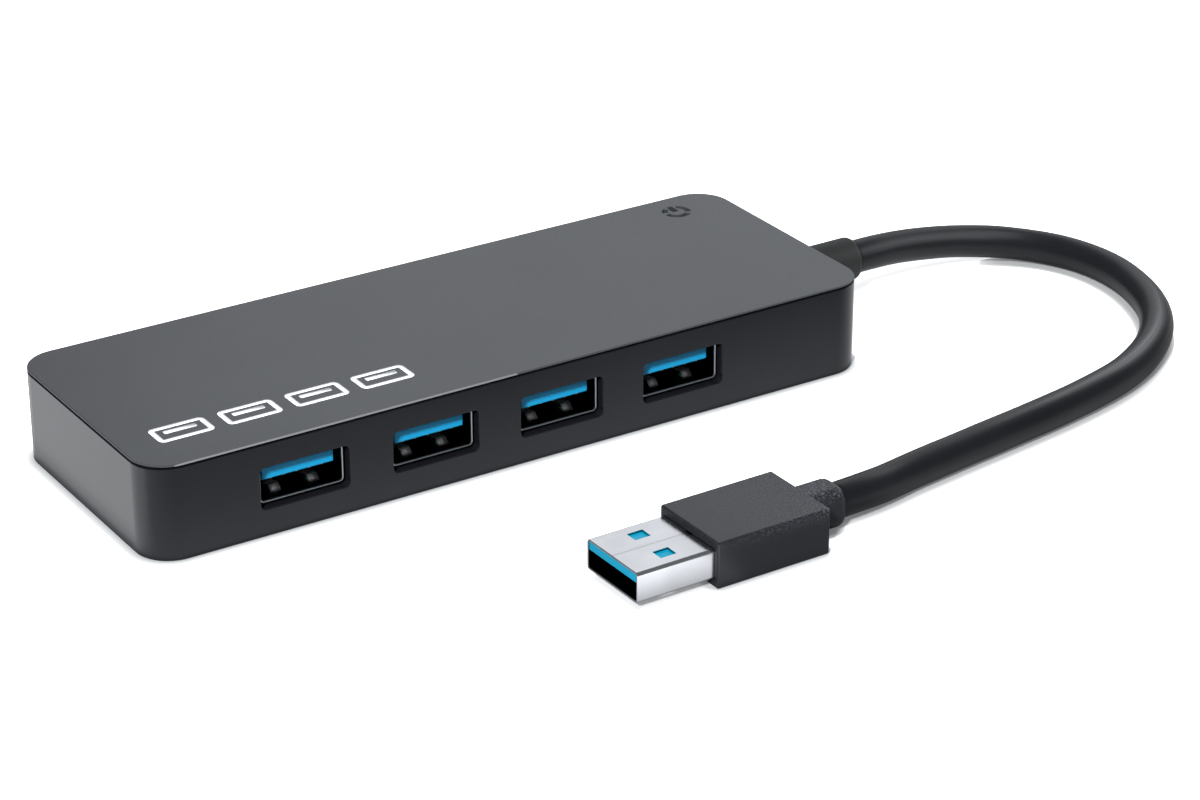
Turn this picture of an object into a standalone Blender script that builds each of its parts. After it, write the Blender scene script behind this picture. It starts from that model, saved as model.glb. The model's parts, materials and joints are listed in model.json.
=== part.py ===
"""USB hub: a slim four-port hub with a short captive cable that ends in a type A plug.

Metres, +Z up. The origin is the centre of the hub's underside. The hub's length runs along X,
the cable leaves the +X end, and the four ports open towards -Y.
"""
import math

import bmesh
import bpy
import numpy as np
from mathutils import Matrix, Vector

MM = 0.001

# ---- Hub case ---------------------------------------------------------------------------------
HUB_LENGTH = 118.6 * MM
HUB_WIDTH = 42.6 * MM
HUB_HEIGHT = 14.4 * MM
CORNER_RADIUS = 5.4 * MM          # upright corners of the case
WALL = 1.6 * MM
FLOOR = 1.4 * MM
BASE_EDGE = 0.35 * MM             # softened edge round the underside
COVER_EDGE = 0.3 * MM             # softened edge round the top
COVER_LIP = 0.4 * MM              # height of the cover's edge that shows
SEAM = 0.2 * MM                   # groove between the cover's edge and the wall's rim
COVER_THICKNESS = 1.5 * MM
FIT_GAP = 0.3 * MM                # clearance between case parts
CLOSE_GAP = 0.1 * MM              # clearance between a small part and what carries it

RIM_Z = HUB_HEIGHT - COVER_LIP - SEAM
SKIRT_Z = 11.7 * MM
SKIRT_THICKNESS = 1.1 * MM
SNAP_X = (-40.0 * MM, 0.0, 40.0 * MM)
SNAP_LENGTH = 5.0 * MM
SNAP_DEPTH = 0.65 * MM
SNAP_ROOT = 0.8 * MM              # how far a snap reaches into the skirt
SNAP_LOW_Z = 12.2 * MM
SNAP_HIGH_Z = 12.9 * MM

# ---- Ports ------------------------------------------------------------------------------------
PORT_COUNT = 4
PORT_FIRST_X = -35.94 * MM
PORT_PITCH = 20.65 * MM
PORT_Z = 7.47 * MM
PORT_OPENING = (13.6 * MM, 5.9 * MM)
PORT_OPENING_RADIUS = 0.8 * MM
SHELL_SIZE = (13.1 * MM, 5.7 * MM)
SHELL_SHEET = 0.3 * MM
SHELL_LENGTH = 17.5 * MM
SHELL_SETBACK = 1.0 * MM          # from the front wall's face to the shell's mouth
SHELL_RADIUS = 0.7 * MM
SPRING_X = 2.95 * MM              # each side of the port's middle
SPRING_SLOT = (2.2 * MM, 6.0 * MM)
SPRING_Y = 4.6 * MM               # from the shell's mouth to the slot's middle
SPRING_SHEET = 0.2 * MM
SPRING_WIDTH = 1.5 * MM
SPRING_CREST_Y = 3.0 * MM         # from the shell's mouth to the spring's highest point
SPRING_TIP_Y = 2.1 * MM
SPRING_RISE = 0.75 * MM           # how far the lower springs reach into the port
SPRING_UPPER_RISE = 0.35 * MM     # the upper ones stop short of the tongue
LEG_WIDTH = 2.0 * MM
LEG_Y = 10.0 * MM                 # from the shell's mouth
LEG_Z = 2.1 * MM                  # the legs' lower ends, through the board
TONGUE_SIZE = (11.1 * MM, 1.84 * MM)
TONGUE_SETBACK = 1.0 * MM         # from the shell's mouth to the tongue's tip
TONGUE_LOW_Z = 7.55 * MM
BLOCK_LENGTH = 5.0 * MM
BLOCK_CORNER = 0.3 * MM
CONTACT_X = (-3.5 * MM, -1.0 * MM, 1.0 * MM, 3.5 * MM)
CONTACT_WIDTH = 1.0 * MM
CONTACT_SHEET = 0.25 * MM
CONTACT_SETBACK = 0.9 * MM        # from the tongue's tip to the contact's end
CONTACT_TAIL = 0.7 * MM           # from the shell's back to the contact's leg

# ---- Circuit board ----------------------------------------------------------------------------
BOARD_LOW = (-56.4 * MM, -19.0 * MM)
BOARD_HIGH = (52.4 * MM, 18.9 * MM)
BOARD_LOW_Z = 2.6 * MM
BOARD_TOP_Z = 4.2 * MM
POSTS = ((-50.0 * MM, -13.0 * MM), (-50.0 * MM, 14.0 * MM), (42.0 * MM, -13.0 * MM), (36.0 * MM, 15.0 * MM))
POST_RADIUS = 2.2 * MM
PIN_RADIUS = 0.9 * MM
PIN_HOLE_RADIUS = 1.2 * MM
PIN_TOP_Z = 4.9 * MM
BOARD_CORNER = 3.0 * MM
CAPACITOR_PLACE = (-3.0 * MM, 1.8 * MM)    # X from the port's middle, and Y
CAPACITOR_RADIUS = 2.5 * MM
CAPACITOR_HEIGHT = 5.4 * MM
FUSE_PLACE = (3.5 * MM, 0.6 * MM)

# ---- Power light ------------------------------------------------------------------------------
LIGHT_X = 49.8 * MM
LIGHT_Y = 15.9 * MM
MARK_RADIUS = 1.95 * MM
MARK_LINE = 0.45 * MM
MARK_ARCS = ((60.0, -28.0), (-48.0, -172.0), (166.0, 120.0))   # degrees, each run clockwise
MARK_BAR = (0.2 * MM, 2.3 * MM)
PIPE_TOP_RADIUS = 2.5 * MM
PIPE_ROD_RADIUS = 1.6 * MM
PIPE_HEAD = 1.6 * MM
PIPE_TAPER = 0.8 * MM
PIPE_FOOT_GAP = 1.3 * MM          # from the board to the pipe's lower end
COLLAR_RADIUS = 3.15 * MM

# ---- Cable ------------------------------------------------------------------------------------
CABLE_RADIUS = 2.6 * MM
CABLE_Z = 7.2 * MM
RELIEF_RADIUS = 3.4 * MM
RELIEF_END_X = 72.2 * MM
RELIEF_NOSE = 1.0 * MM
RELIEF_NECK_RADIUS = 2.9 * MM
RELIEF_FLANGE_RADIUS = 4.4 * MM
RELIEF_HOLE_RADIUS = 3.2 * MM
RELIEF_FLANGE = 1.8 * MM
JACKET_INNER_X = 50.0 * MM
WIRE_RADIUS = 0.45 * MM
WIRE_RING = 1.6 * MM              # radius of the ring in which the wires leave the jacket
WIRE_PAD_X = 42.5 * MM
WIRE_PAD_PITCH = 1.8 * MM
WIRE_COLORS = {
    "red": (0.60, 0.02, 0.02), "black": (0.01, 0.01, 0.01), "white": (0.80, 0.80, 0.80),
    "green": (0.02, 0.35, 0.06), "blue": (0.02, 0.08, 0.50), "yellow": (0.75, 0.55, 0.03),
    "orange": (0.75, 0.22, 0.02), "purple": (0.20, 0.04, 0.35),
}
# The cable's route, in millimetres: out of the relief, down to the table, round, and back to the plug.
CABLE_ROUTE_MM = (
    (72.5, 0.0, 7.2), (75.6, 0.2, 7.1), (79.1, 0.6, 6.8), (83.7, 1.1, 6.2), (88.3, 1.3, 5.5),
    (92.7, 1.2, 4.8), (96.7, 0.7, 4.1), (100.4, -0.4, 3.55), (103.5, -2.1, 3.1), (106.1, -4.4, 2.8),
    (108.1, -7.3, 2.65), (109.5, -10.9, 2.6), (110.2, -15.1, 2.6), (110.1, -19.9, 2.6),
    (108.9, -25.4, 2.6), (106.5, -31.4, 2.6), (102.3, -37.6, 2.6), (96.9, -42.6, 2.6),
    (91.2, -46.2, 2.6), (85.9, -48.6, 2.6), (81.0, -50.1, 2.6), (72.0, -52.1, 2.6),
    (63.4, -53.5, 2.6), (55.1, -54.7, 2.6), (46.9, -55.9, 2.6), (39.0, -57.2, 2.65),
    (34.8, -58.2, 2.85), (31.2, -59.05, 3.2), (28.6, -59.5, 3.4), (25.95, -59.75, 3.46),
)
CABLE_STEP = 1.2 * CABLE_RADIUS   # between the rings of the tube

# ---- Plug, in its own frame: x from the shell's mouth towards the cable ------------------------
PLUG_TIP = (-11.42 * MM, -60.23 * MM)
PLUG_TURN = math.radians(0.75)
PLUG_Z = 3.46 * MM
PLUG_SHELL = (18.7 * MM, 12.0 * MM, 4.5 * MM)
PLUG_SHELL_RADIUS = 0.5 * MM
PLUG_BARE_LENGTH = 12.3 * MM
PLUG_WINDOW = (2.5 * MM, 2.1 * MM)
PLUG_WINDOW_X = 6.3 * MM
PLUG_WINDOW_Y = 3.0 * MM
GRIP_SIZE = (18.5 * MM, 13.6 * MM, 6.92 * MM)
GRIP_EDGE = 0.4 * MM
STUB_SIDE = 6.2 * MM
STUB_LENGTH = 6.0 * MM
STUB_RADIUS = 1.5 * MM
STUB_EDGE = 0.9 * MM
PLUG_CORE_SETBACK = 0.2 * MM
PLUG_CORE_THICKNESS = 1.85 * MM
PLUG_CORE_REAR = 5.0 * MM
PLUG_CONTACT_START = (1.2 * MM, 2.2 * MM, 2.2 * MM, 1.2 * MM)
PLUG_CONTACT_SHEET = 0.2 * MM
PLUG_CONTACT_END = 5.3 * MM       # from the shell's back


# ---- Helpers ----------------------------------------------------------------------------------
def clear_scene():
    """Remove every object that the file opened with."""
    for obj in list(bpy.data.objects):
        bpy.data.objects.remove(obj, do_unlink=True)


def new_collection(name):
    """Make a collection and link it to the scene."""
    collection = bpy.data.collections.new(name)
    bpy.context.scene.collection.children.link(collection)
    return collection


def dress(obj, color, roughness, metallic=0.0):
    """Give an object a Principled material of its own."""
    material = bpy.data.materials.new(obj.name + "_finish")
    material.use_nodes = True
    shader = material.node_tree.nodes["Principled BSDF"]
    shader.inputs["Base Color"].default_value = (*color, 1.0)
    shader.inputs["Roughness"].default_value = roughness
    shader.inputs["Metallic"].default_value = metallic
    obj.data.materials.append(material)
    return obj


def object_from_bmesh(name, bm, collection):
    """Turn a bmesh into a named object."""
    mesh = bpy.data.meshes.new(name)
    bm.to_mesh(mesh)
    bm.free()
    obj = bpy.data.objects.new(name, mesh)
    collection.objects.link(obj)
    return obj


def parallel_edges(bm, axis):
    """The edges that run along one axis, numbered 0 to 2."""
    edges = []
    for edge in bm.edges:
        run = edge.verts[1].co - edge.verts[0].co
        if abs(run[axis]) > 0.99 * run.length:
            edges.append(edge)
    return edges


def rim_edges(bm, axis, level):
    """The edges that lie wholly in the plane where the axis has this level."""
    tolerance = 1e-7
    return [edge for edge in bm.edges
            if all(abs(vert.co[axis] - level) < tolerance for vert in edge.verts)]


def block(name, low, high, collection, axis=2, corner=0.0, steps=4, low_edge=0.0, high_edge=0.0):
    """A block whose four edges along one axis are rounded, with softened rims at its two ends."""
    low, high = Vector(low), Vector(high)
    bm = bmesh.new()
    bmesh.ops.create_cube(bm, size=1.0)
    size = high - low
    place = Matrix.Translation((low + high) / 2) @ Matrix.Diagonal((size.x, size.y, size.z, 1.0))
    bmesh.ops.transform(bm, matrix=place, verts=bm.verts)
    if corner:
        bmesh.ops.bevel(bm, geom=parallel_edges(bm, axis), offset=corner, segments=steps, profile=0.5,
                        affect="EDGES")
    for level, width in ((low[axis], low_edge), (high[axis], high_edge)):
        if width:
            bmesh.ops.bevel(bm, geom=rim_edges(bm, axis, level), offset=width, segments=2,
                            profile=0.5, affect="EDGES")
    return object_from_bmesh(name, bm, collection)


def rod(name, radius, start, end, collection, sides=24):
    """A round bar between two points."""
    start, end = Vector(start), Vector(end)
    run = end - start
    turn = run.to_track_quat("Z", "Y").to_matrix().to_4x4()
    bm = bmesh.new()
    bmesh.ops.create_cone(bm, cap_ends=True, segments=sides, radius1=radius, radius2=radius,
                          depth=run.length, matrix=Matrix.Translation((start + end) / 2) @ turn)
    return object_from_bmesh(name, bm, collection)


def turned(name, profile, collection, steps=24):
    """A round solid about Z, from (radius, height) points that run down its outer side."""
    mesh = bpy.data.meshes.new(name)
    points = [(radius, 0.0, height) for radius, height in profile]
    mesh.from_pydata(points, [(i, i + 1) for i in range(len(points) - 1)], [])
    obj = bpy.data.objects.new(name, mesh)
    collection.objects.link(obj)
    screw = obj.modifiers.new("turn", "SCREW")
    screw.steps = steps
    screw.render_steps = steps
    screw.use_merge_vertices = True
    screw.merge_threshold = 1e-6
    return obj


def mesh_from_curve(curve_object, collection):
    """Replace a curve object by the mesh that it evaluates to, with its caps welded on."""
    bpy.context.view_layer.update()
    graph = bpy.context.evaluated_depsgraph_get()
    mesh = bpy.data.meshes.new_from_object(curve_object.evaluated_get(graph))
    bm = bmesh.new()
    bm.from_mesh(mesh)
    bmesh.ops.remove_doubles(bm, verts=bm.verts, dist=1e-7)
    bmesh.ops.recalc_face_normals(bm, faces=bm.faces)
    bm.to_mesh(mesh)
    bm.free()
    name = curve_object.name
    place = curve_object.matrix_world.copy()
    bpy.data.objects.remove(curve_object, do_unlink=True)
    obj = bpy.data.objects.new(name, mesh)
    obj.name = name
    obj.matrix_world = place
    collection.objects.link(obj)
    return obj


def plate(name, outline, thickness, collection):
    """A flat outline in X and Y, thickened evenly about its own plane."""
    curve = bpy.data.curves.new(name, "CURVE")
    curve.dimensions = "2D"
    curve.fill_mode = "BOTH"
    curve.extrude = thickness / 2
    spline = curve.splines.new("POLY")
    spline.points.add(len(outline) - 1)
    for point, (x, y) in zip(spline.points, outline):
        point.co = (x, y, 0.0, 1.0)
    spline.use_cyclic_u = True
    obj = bpy.data.objects.new(name, curve)
    collection.objects.link(obj)
    return obj


def tube(name, points, radius, collection, resolution=2):
    """A round tube along a list of points."""
    curve = bpy.data.curves.new(name, "CURVE")
    curve.dimensions = "3D"
    curve.bevel_depth = radius
    curve.bevel_resolution = resolution
    curve.use_fill_caps = True
    spline = curve.splines.new("POLY")
    spline.points.add(len(points) - 1)
    for point, place in zip(spline.points, points):
        point.co = (*place, 1.0)
    obj = bpy.data.objects.new(name, curve)
    collection.objects.link(obj)
    return obj


def boolean(target, tool, operation):
    """Cut a tool from a target, or join it on."""
    modifier = target.modifiers.new(operation.lower() + "_" + tool.name, "BOOLEAN")
    modifier.operation = operation
    modifier.object = tool
    tool.hide_render = True
    tool.display_type = "WIRE"
    return target


def cut(target, *tools):
    """Cut each tool from the target."""
    for tool in tools:
        boolean(target, tool, "DIFFERENCE")


def add(target, *tools):
    """Join each tool to the target."""
    for tool in tools:
        boolean(target, tool, "UNION")


def smooth_path(route, step):
    """Points at an even step along a natural cubic curve through the route's points."""
    knots = np.asarray(route, dtype=float)
    chord = np.concatenate([[0.0], np.cumsum(np.linalg.norm(np.diff(knots, axis=0), axis=1))])
    gap = np.diff(chord)
    count = len(knots)
    system = np.eye(count)
    right = np.zeros_like(knots)
    for i in range(1, count - 1):
        system[i, i - 1:i + 2] = gap[i - 1], 2 * (gap[i - 1] + gap[i]), gap[i]
        right[i] = 6 * ((knots[i + 1] - knots[i]) / gap[i] - (knots[i] - knots[i - 1]) / gap[i - 1])
    bend = np.linalg.solve(system, right)
    along = np.linspace(0.0, chord[-1], max(2, round(chord[-1] / step) + 1))
    left = np.clip(np.searchsorted(chord, along, side="right") - 1, 0, count - 2)
    a = ((chord[left + 1] - along) / gap[left])[:, None]
    b = 1 - a
    span = (gap[left] ** 2)[:, None] / 6
    return (a * knots[left] + b * knots[left + 1]
            + ((a ** 3 - a) * bend[left] + (b ** 3 - b) * bend[left + 1]) * span)


def case_block(name, inset, low_z, high_z, collection, **edges):
    """A block with the case's rounded outline, drawn in by an inset."""
    return block(name, (-HUB_LENGTH / 2 + inset, -HUB_WIDTH / 2 + inset, low_z),
                 (HUB_LENGTH / 2 - inset, HUB_WIDTH / 2 - inset, high_z), collection,
                 corner=CORNER_RADIUS - inset, steps=8, **edges)


def port_x(index):
    """The middle of a port, counted from the end away from the cable."""
    return PORT_FIRST_X + index * PORT_PITCH


# ---- Case -------------------------------------------------------------------------------------
def snap_block(name, x, side, reach, clearance, cutters):
    """A short bar across the joint of skirt and wall: a tab, or with clearance its pocket."""
    inner = HUB_WIDTH / 2 - WALL - SNAP_ROOT
    outer = HUB_WIDTH / 2 - WALL + reach
    low_y, high_y = sorted((side * inner, side * outer))
    half = SNAP_LENGTH / 2 + clearance
    return block(name, (x - half, low_y, SNAP_LOW_Z - clearance), (x + half, high_y, SNAP_HIGH_Z + clearance),
                 cutters)


def make_bottom_housing(parts, cutters):
    """The tray: floor, four walls, port openings, cable hole, board posts and snap pockets."""
    tray = case_block("bottom_housing", 0.0, 0.0, RIM_Z, parts, low_edge=BASE_EDGE)
    cut(tray, case_block("tray_hollow", WALL, FLOOR, HUB_HEIGHT, cutters))
    front = -HUB_WIDTH / 2
    half_x, half_z = PORT_OPENING[0] / 2, PORT_OPENING[1] / 2
    for index in range(PORT_COUNT):
        x = port_x(index)
        cut(tray, block(f"port_opening_{index + 1}", (x - half_x, front - MM, PORT_Z - half_z),
                        (x + half_x, front + WALL + MM, PORT_Z + half_z), cutters, axis=1,
                        corner=PORT_OPENING_RADIUS))
    end = HUB_LENGTH / 2
    cut(tray, rod("cable_hole", RELIEF_HOLE_RADIUS, (end - WALL - MM, 0, CABLE_Z),
                  (end + MM, 0, CABLE_Z), cutters))
    for index, (x, y) in enumerate(POSTS):
        add(tray, rod(f"post_{index}", POST_RADIUS, (x, y, FLOOR / 2),
                      (x, y, BOARD_LOW_Z - FIT_GAP), cutters, 16))
        add(tray, rod(f"pin_{index}", PIN_RADIUS, (x, y, FLOOR), (x, y, PIN_TOP_Z), cutters, 12))
    for side in (-1, 1):
        for x in SNAP_X:
            cut(tray, snap_block(f"pocket_{side}_{x:.3f}", x, side, SNAP_DEPTH + FIT_GAP, FIT_GAP, cutters))
    return dress(tray, (0.045, 0.045, 0.05), 0.38)


def arc_outline(start, stop, steps=10):
    """The outline of one stretch of the power mark's ring, between two angles in degrees."""
    angles = np.radians(np.linspace(start, stop, steps))
    outer, inner = MARK_RADIUS + MARK_LINE / 2, MARK_RADIUS - MARK_LINE / 2
    ring = [(outer * math.cos(a), outer * math.sin(a)) for a in angles]
    return ring + [(inner * math.cos(a), inner * math.sin(a)) for a in reversed(angles)]


def make_top_cover(parts, cutters):
    """The lid: a plate with a skirt that drops inside the tray, snap tabs and the stencilled mark."""
    cover = case_block("top_cover", 0.0, RIM_Z + SEAM, HUB_HEIGHT, parts, high_edge=COVER_EDGE)
    skirt_inset = WALL + FIT_GAP
    inner_z = HUB_HEIGHT - COVER_THICKNESS
    skirt = case_block("skirt_outside", skirt_inset, SKIRT_Z, HUB_HEIGHT - 0.4 * MM, cutters)
    hollow = case_block("skirt_inside", skirt_inset + SKIRT_THICKNESS, SKIRT_Z - MM, inner_z, cutters)
    collar = rod("light_collar", COLLAR_RADIUS, (LIGHT_X, LIGHT_Y, SKIRT_Z), (LIGHT_X, LIGHT_Y, inner_z + 0.5 * MM),
                 cutters)
    socket = rod("light_socket", PIPE_TOP_RADIUS + CLOSE_GAP, (LIGHT_X, LIGHT_Y, SKIRT_Z - MM),
                 (LIGHT_X, LIGHT_Y, inner_z), cutters)
    add(cover, skirt)
    cut(cover, hollow)
    add(cover, collar)
    cut(cover, socket)
    for side in (-1, 1):
        for x in SNAP_X:
            add(cover, snap_block(f"tab_{side}_{x:.3f}", x, side, SNAP_DEPTH, 0.0, cutters))
    depth = 6 * MM
    outlines = [arc_outline(*arc) for arc in MARK_ARCS]
    half = MARK_LINE / 2
    outlines.append([(-half, MARK_BAR[0]), (half, MARK_BAR[0]), (half, MARK_BAR[1]), (-half, MARK_BAR[1])])
    for index, outline in enumerate(outlines):
        slot = plate(f"mark_slot_{index}", outline, depth, cutters)
        slot.location = (LIGHT_X, LIGHT_Y, HUB_HEIGHT)
        cut(cover, mesh_from_curve(slot, cutters))
    return dress(cover, (0.12, 0.12, 0.125), 0.42)


def make_light(parts):
    """The clear pipe under the mark, and the light source below it."""
    top = HUB_HEIGHT - COVER_THICKNESS - CLOSE_GAP
    waist = top - PIPE_HEAD
    foot = BOARD_TOP_Z + PIPE_FOOT_GAP
    profile = ((0, top), (PIPE_TOP_RADIUS, top), (PIPE_TOP_RADIUS, waist), (PIPE_ROD_RADIUS, waist - PIPE_TAPER),
               (PIPE_ROD_RADIUS, foot), (0, foot))
    pipe = turned("power_light_pipe", profile, parts)
    pipe.location = (LIGHT_X, LIGHT_Y, 0)
    dress(pipe, (0.85, 0.87, 0.88), 0.25)
    chip("power_led", (LIGHT_X, LIGHT_Y), (2.0 * MM, 1.25 * MM, 0.9 * MM), (0.85, 0.85, 0.75), parts)


# ---- Circuit board ----------------------------------------------------------------------------
def chip(name, middle, size, color, parts, roughness=0.5, corner=0.0):
    """A small block on the board's upper face."""
    low = (middle[0] - size[0] / 2, middle[1] - size[1] / 2, BOARD_TOP_Z + CLOSE_GAP)
    high = (middle[0] + size[0] / 2, middle[1] + size[1] / 2, BOARD_TOP_Z + CLOSE_GAP + size[2])
    return dress(block(name, low, high, parts, corner=corner, steps=3), color, roughness)


def shell_leg_box(index, side, clearance):
    """The low and high corners of a port shell's leg, or with clearance of its slot in the board."""
    edge = port_x(index) + side * (SHELL_SIZE[0] / 2 - SHELL_SHEET / 2)
    y = -HUB_WIDTH / 2 + SHELL_SETBACK + LEG_Y
    half_x = SHELL_SHEET / 2 + clearance
    half_y = LEG_WIDTH / 2 + clearance
    return (edge - half_x, y - half_y), (edge + half_x, y + half_y)


def make_board(parts, cutters):
    """The board with its pin holes and leg slots, and the parts soldered on it."""
    board = block("circuit_board", (*BOARD_LOW, BOARD_LOW_Z), (*BOARD_HIGH, BOARD_TOP_Z), parts,
                  corner=BOARD_CORNER)
    for index, (x, y) in enumerate(POSTS):
        cut(board, rod(f"pin_hole_{index}", PIN_HOLE_RADIUS, (x, y, BOARD_LOW_Z - MM), (x, y, BOARD_TOP_Z + MM),
                       cutters, 16))
    for index in range(PORT_COUNT):
        for side in (-1, 1):
            low, high = shell_leg_box(index, side, FIT_GAP)
            cut(board, block(f"leg_slot_{index}_{side}", (*low, BOARD_LOW_Z - MM),
                             (*high, BOARD_TOP_Z + MM), cutters))
    dress(board, (0.01, 0.16, 0.07), 0.45)
    chip("hub_controller_chip", (-4.0 * MM, 10.5 * MM), (9.0 * MM, 9.0 * MM, 0.9 * MM),
         (0.02, 0.02, 0.022), parts)
    chip("crystal", (-16.0 * MM, 12.0 * MM), (5.0 * MM, 3.2 * MM, 1.1 * MM),
         (0.6, 0.6, 0.58), parts, 0.3, 0.5 * MM)
    chip("voltage_regulator", (22.0 * MM, 12.0 * MM), (6.5 * MM, 3.5 * MM, 1.6 * MM),
         (0.03, 0.03, 0.03), parts)
    for index in range(PORT_COUNT):
        middle = (port_x(index) + CAPACITOR_PLACE[0], CAPACITOR_PLACE[1])
        base_z = BOARD_TOP_Z + CLOSE_GAP
        can = rod(f"port_capacitor_{index + 1}", CAPACITOR_RADIUS, (*middle, base_z),
                  (*middle, base_z + CAPACITOR_HEIGHT), parts, 20)
        dress(can, (0.6, 0.6, 0.62), 0.3, 0.9)
        chip(f"port_fuse_{index + 1}", (port_x(index) + FUSE_PLACE[0], FUSE_PLACE[1]),
             (3.2 * MM, 1.6 * MM, 0.7 * MM), (0.25, 0.2, 0.1), parts)


# ---- Ports ------------------------------------------------------------------------------------
def make_port_shell(index, parts, cutters):
    """The folded steel shell of one port: a square tube with spring slots and two board legs."""
    x = port_x(index)
    mouth = -HUB_WIDTH / 2 + SHELL_SETBACK
    half_x, half_z = SHELL_SIZE[0] / 2, SHELL_SIZE[1] / 2
    shell = block(f"port_shell_{index + 1}", (x - half_x, mouth, PORT_Z - half_z),
                  (x + half_x, mouth + SHELL_LENGTH, PORT_Z + half_z), parts, axis=1, corner=SHELL_RADIUS)
    for side in (-1, 1):
        low, high = shell_leg_box(index, side, 0.0)
        add(shell, block(f"leg_{index}_{side}", (*low, LEG_Z), (*high, PORT_Z), cutters))
    cut(shell, block(f"shell_hollow_{index}", (x - half_x + SHELL_SHEET, mouth - MM, PORT_Z - half_z + SHELL_SHEET),
                     (x + half_x - SHELL_SHEET, mouth + SHELL_LENGTH + MM, PORT_Z + half_z - SHELL_SHEET),
                     cutters, axis=1, corner=SHELL_RADIUS - SHELL_SHEET))
    for side in (-1, 1):
        middle = x + side * SPRING_X
        cut(shell, block(f"spring_slot_{index}_{side}",
                         (middle - SPRING_SLOT[0] / 2, mouth + SPRING_Y - SPRING_SLOT[1] / 2, PORT_Z - 4 * MM),
                         (middle + SPRING_SLOT[0] / 2, mouth + SPRING_Y + SPRING_SLOT[1] / 2, PORT_Z + 4 * MM),
                         cutters))
        for up, rise in ((1, SPRING_RISE), (-1, SPRING_UPPER_RISE)):
            add(shell, spring_strip(f"spring_{index}_{side}_{up}", middle, mouth, up, rise, cutters))
    return dress(shell, (0.75, 0.75, 0.77), 0.25, 1.0)


def spring_strip(name, x, mouth, up, rise, cutters):
    """A leaf spring of the shell's sheet: it climbs from its slot's far end to a crest, then folds back."""
    level = PORT_Z - up * (SHELL_SIZE[1] / 2 - SHELL_SHEET / 2)
    root = mouth + SPRING_Y + SPRING_SLOT[1] / 2
    line = ((root + SHELL_SHEET, level), (root - SHELL_SHEET, level), (mouth + SPRING_CREST_Y, level + up * rise),
            (mouth + SPRING_TIP_Y, level))
    half = SPRING_SHEET / 2
    outline = [(y, z - half) for y, z in line] + [(y, z + half) for y, z in reversed(line)]
    strip = plate(name, outline, SPRING_WIDTH, cutters)
    strip.rotation_euler = (math.pi / 2, 0, math.pi / 2)
    strip.location = (x, 0, 0)
    return mesh_from_curve(strip, cutters)


def make_port_insulator(index, parts, cutters):
    """The blue moulding of one port: a tongue, and a rear block that is open under the contacts."""
    x = port_x(index)
    mouth = -HUB_WIDTH / 2 + SHELL_SETBACK
    back = mouth + SHELL_LENGTH - CLOSE_GAP
    half_x = TONGUE_SIZE[0] / 2
    tongue = block(f"port_insulator_{index + 1}", (x - half_x, mouth + TONGUE_SETBACK, TONGUE_LOW_Z),
                   (x + half_x, back - MM, TONGUE_LOW_Z + TONGUE_SIZE[1]), parts)
    block_x = SHELL_SIZE[0] / 2 - SHELL_SHEET - CLOSE_GAP
    block_z = SHELL_SIZE[1] / 2 - SHELL_SHEET - CLOSE_GAP
    add(tongue, block(f"insulator_block_{index}", (x - block_x, back - BLOCK_LENGTH, PORT_Z - block_z),
                      (x + block_x, back, PORT_Z + block_z), cutters, axis=1, corner=BLOCK_CORNER, steps=2))
    pocket_x = CONTACT_X[-1] + CONTACT_WIDTH / 2 + FIT_GAP
    cut(tongue, block(f"contact_pocket_{index}", (x - pocket_x, back - BLOCK_LENGTH - MM, PORT_Z - 4 * MM),
                      (x + pocket_x, back + MM, TONGUE_LOW_Z), cutters))
    return dress(tongue, (0.01, 0.30, 0.75), 0.4)


def make_port_contact(index, number, parts):
    """One contact: a strip under the tongue that turns down to the board behind it."""
    mouth = -HUB_WIDTH / 2 + SHELL_SETBACK
    tip = mouth + TONGUE_SETBACK + CONTACT_SETBACK
    back = mouth + SHELL_LENGTH + CONTACT_TAIL
    high = TONGUE_LOW_Z - CLOSE_GAP
    low = high - CONTACT_SHEET
    foot = BOARD_TOP_Z + CLOSE_GAP
    outline = ((tip, low), (back - CONTACT_SHEET, low), (back - CONTACT_SHEET, foot), (back, foot), (back, high),
               (tip, high))
    strip = plate(f"port_contact_{index + 1}_{number + 1}", outline, CONTACT_WIDTH, parts)
    strip.rotation_euler = (math.pi / 2, 0, math.pi / 2)
    strip.location = (port_x(index) + CONTACT_X[number], 0, 0)
    return dress(mesh_from_curve(strip, parts), (0.85, 0.62, 0.25), 0.3, 1.0)


# ---- Cable ------------------------------------------------------------------------------------
def make_strain_relief(parts):
    """The moulded collar on the cable: an inner flange, a neck through the wall, and the outer sleeve."""
    wall_out = HUB_LENGTH / 2 + 0.5 * FIT_GAP
    wall_in = HUB_LENGTH / 2 - WALL - FIT_GAP
    flange = wall_in - RELIEF_FLANGE
    profile = [(0, RELIEF_END_X)]
    middle = (RELIEF_RADIUS - RELIEF_NOSE, RELIEF_END_X - RELIEF_NOSE)
    for angle in np.linspace(math.pi / 2, 0.0, 4):
        profile.append((middle[0] + RELIEF_NOSE * math.cos(angle), middle[1] + RELIEF_NOSE * math.sin(angle)))
    profile += [(RELIEF_RADIUS, wall_out), (RELIEF_NECK_RADIUS, wall_out), (RELIEF_NECK_RADIUS, wall_in),
                (RELIEF_FLANGE_RADIUS, wall_in), (RELIEF_FLANGE_RADIUS, flange), (0, flange)]
    relief = turned("hub_strain_relief", profile, parts)
    relief.rotation_euler = (0, math.pi / 2, 0)
    relief.location = (0, 0, CABLE_Z)
    dress(relief, (0.02, 0.02, 0.022), 0.6)
    return flange


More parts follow.
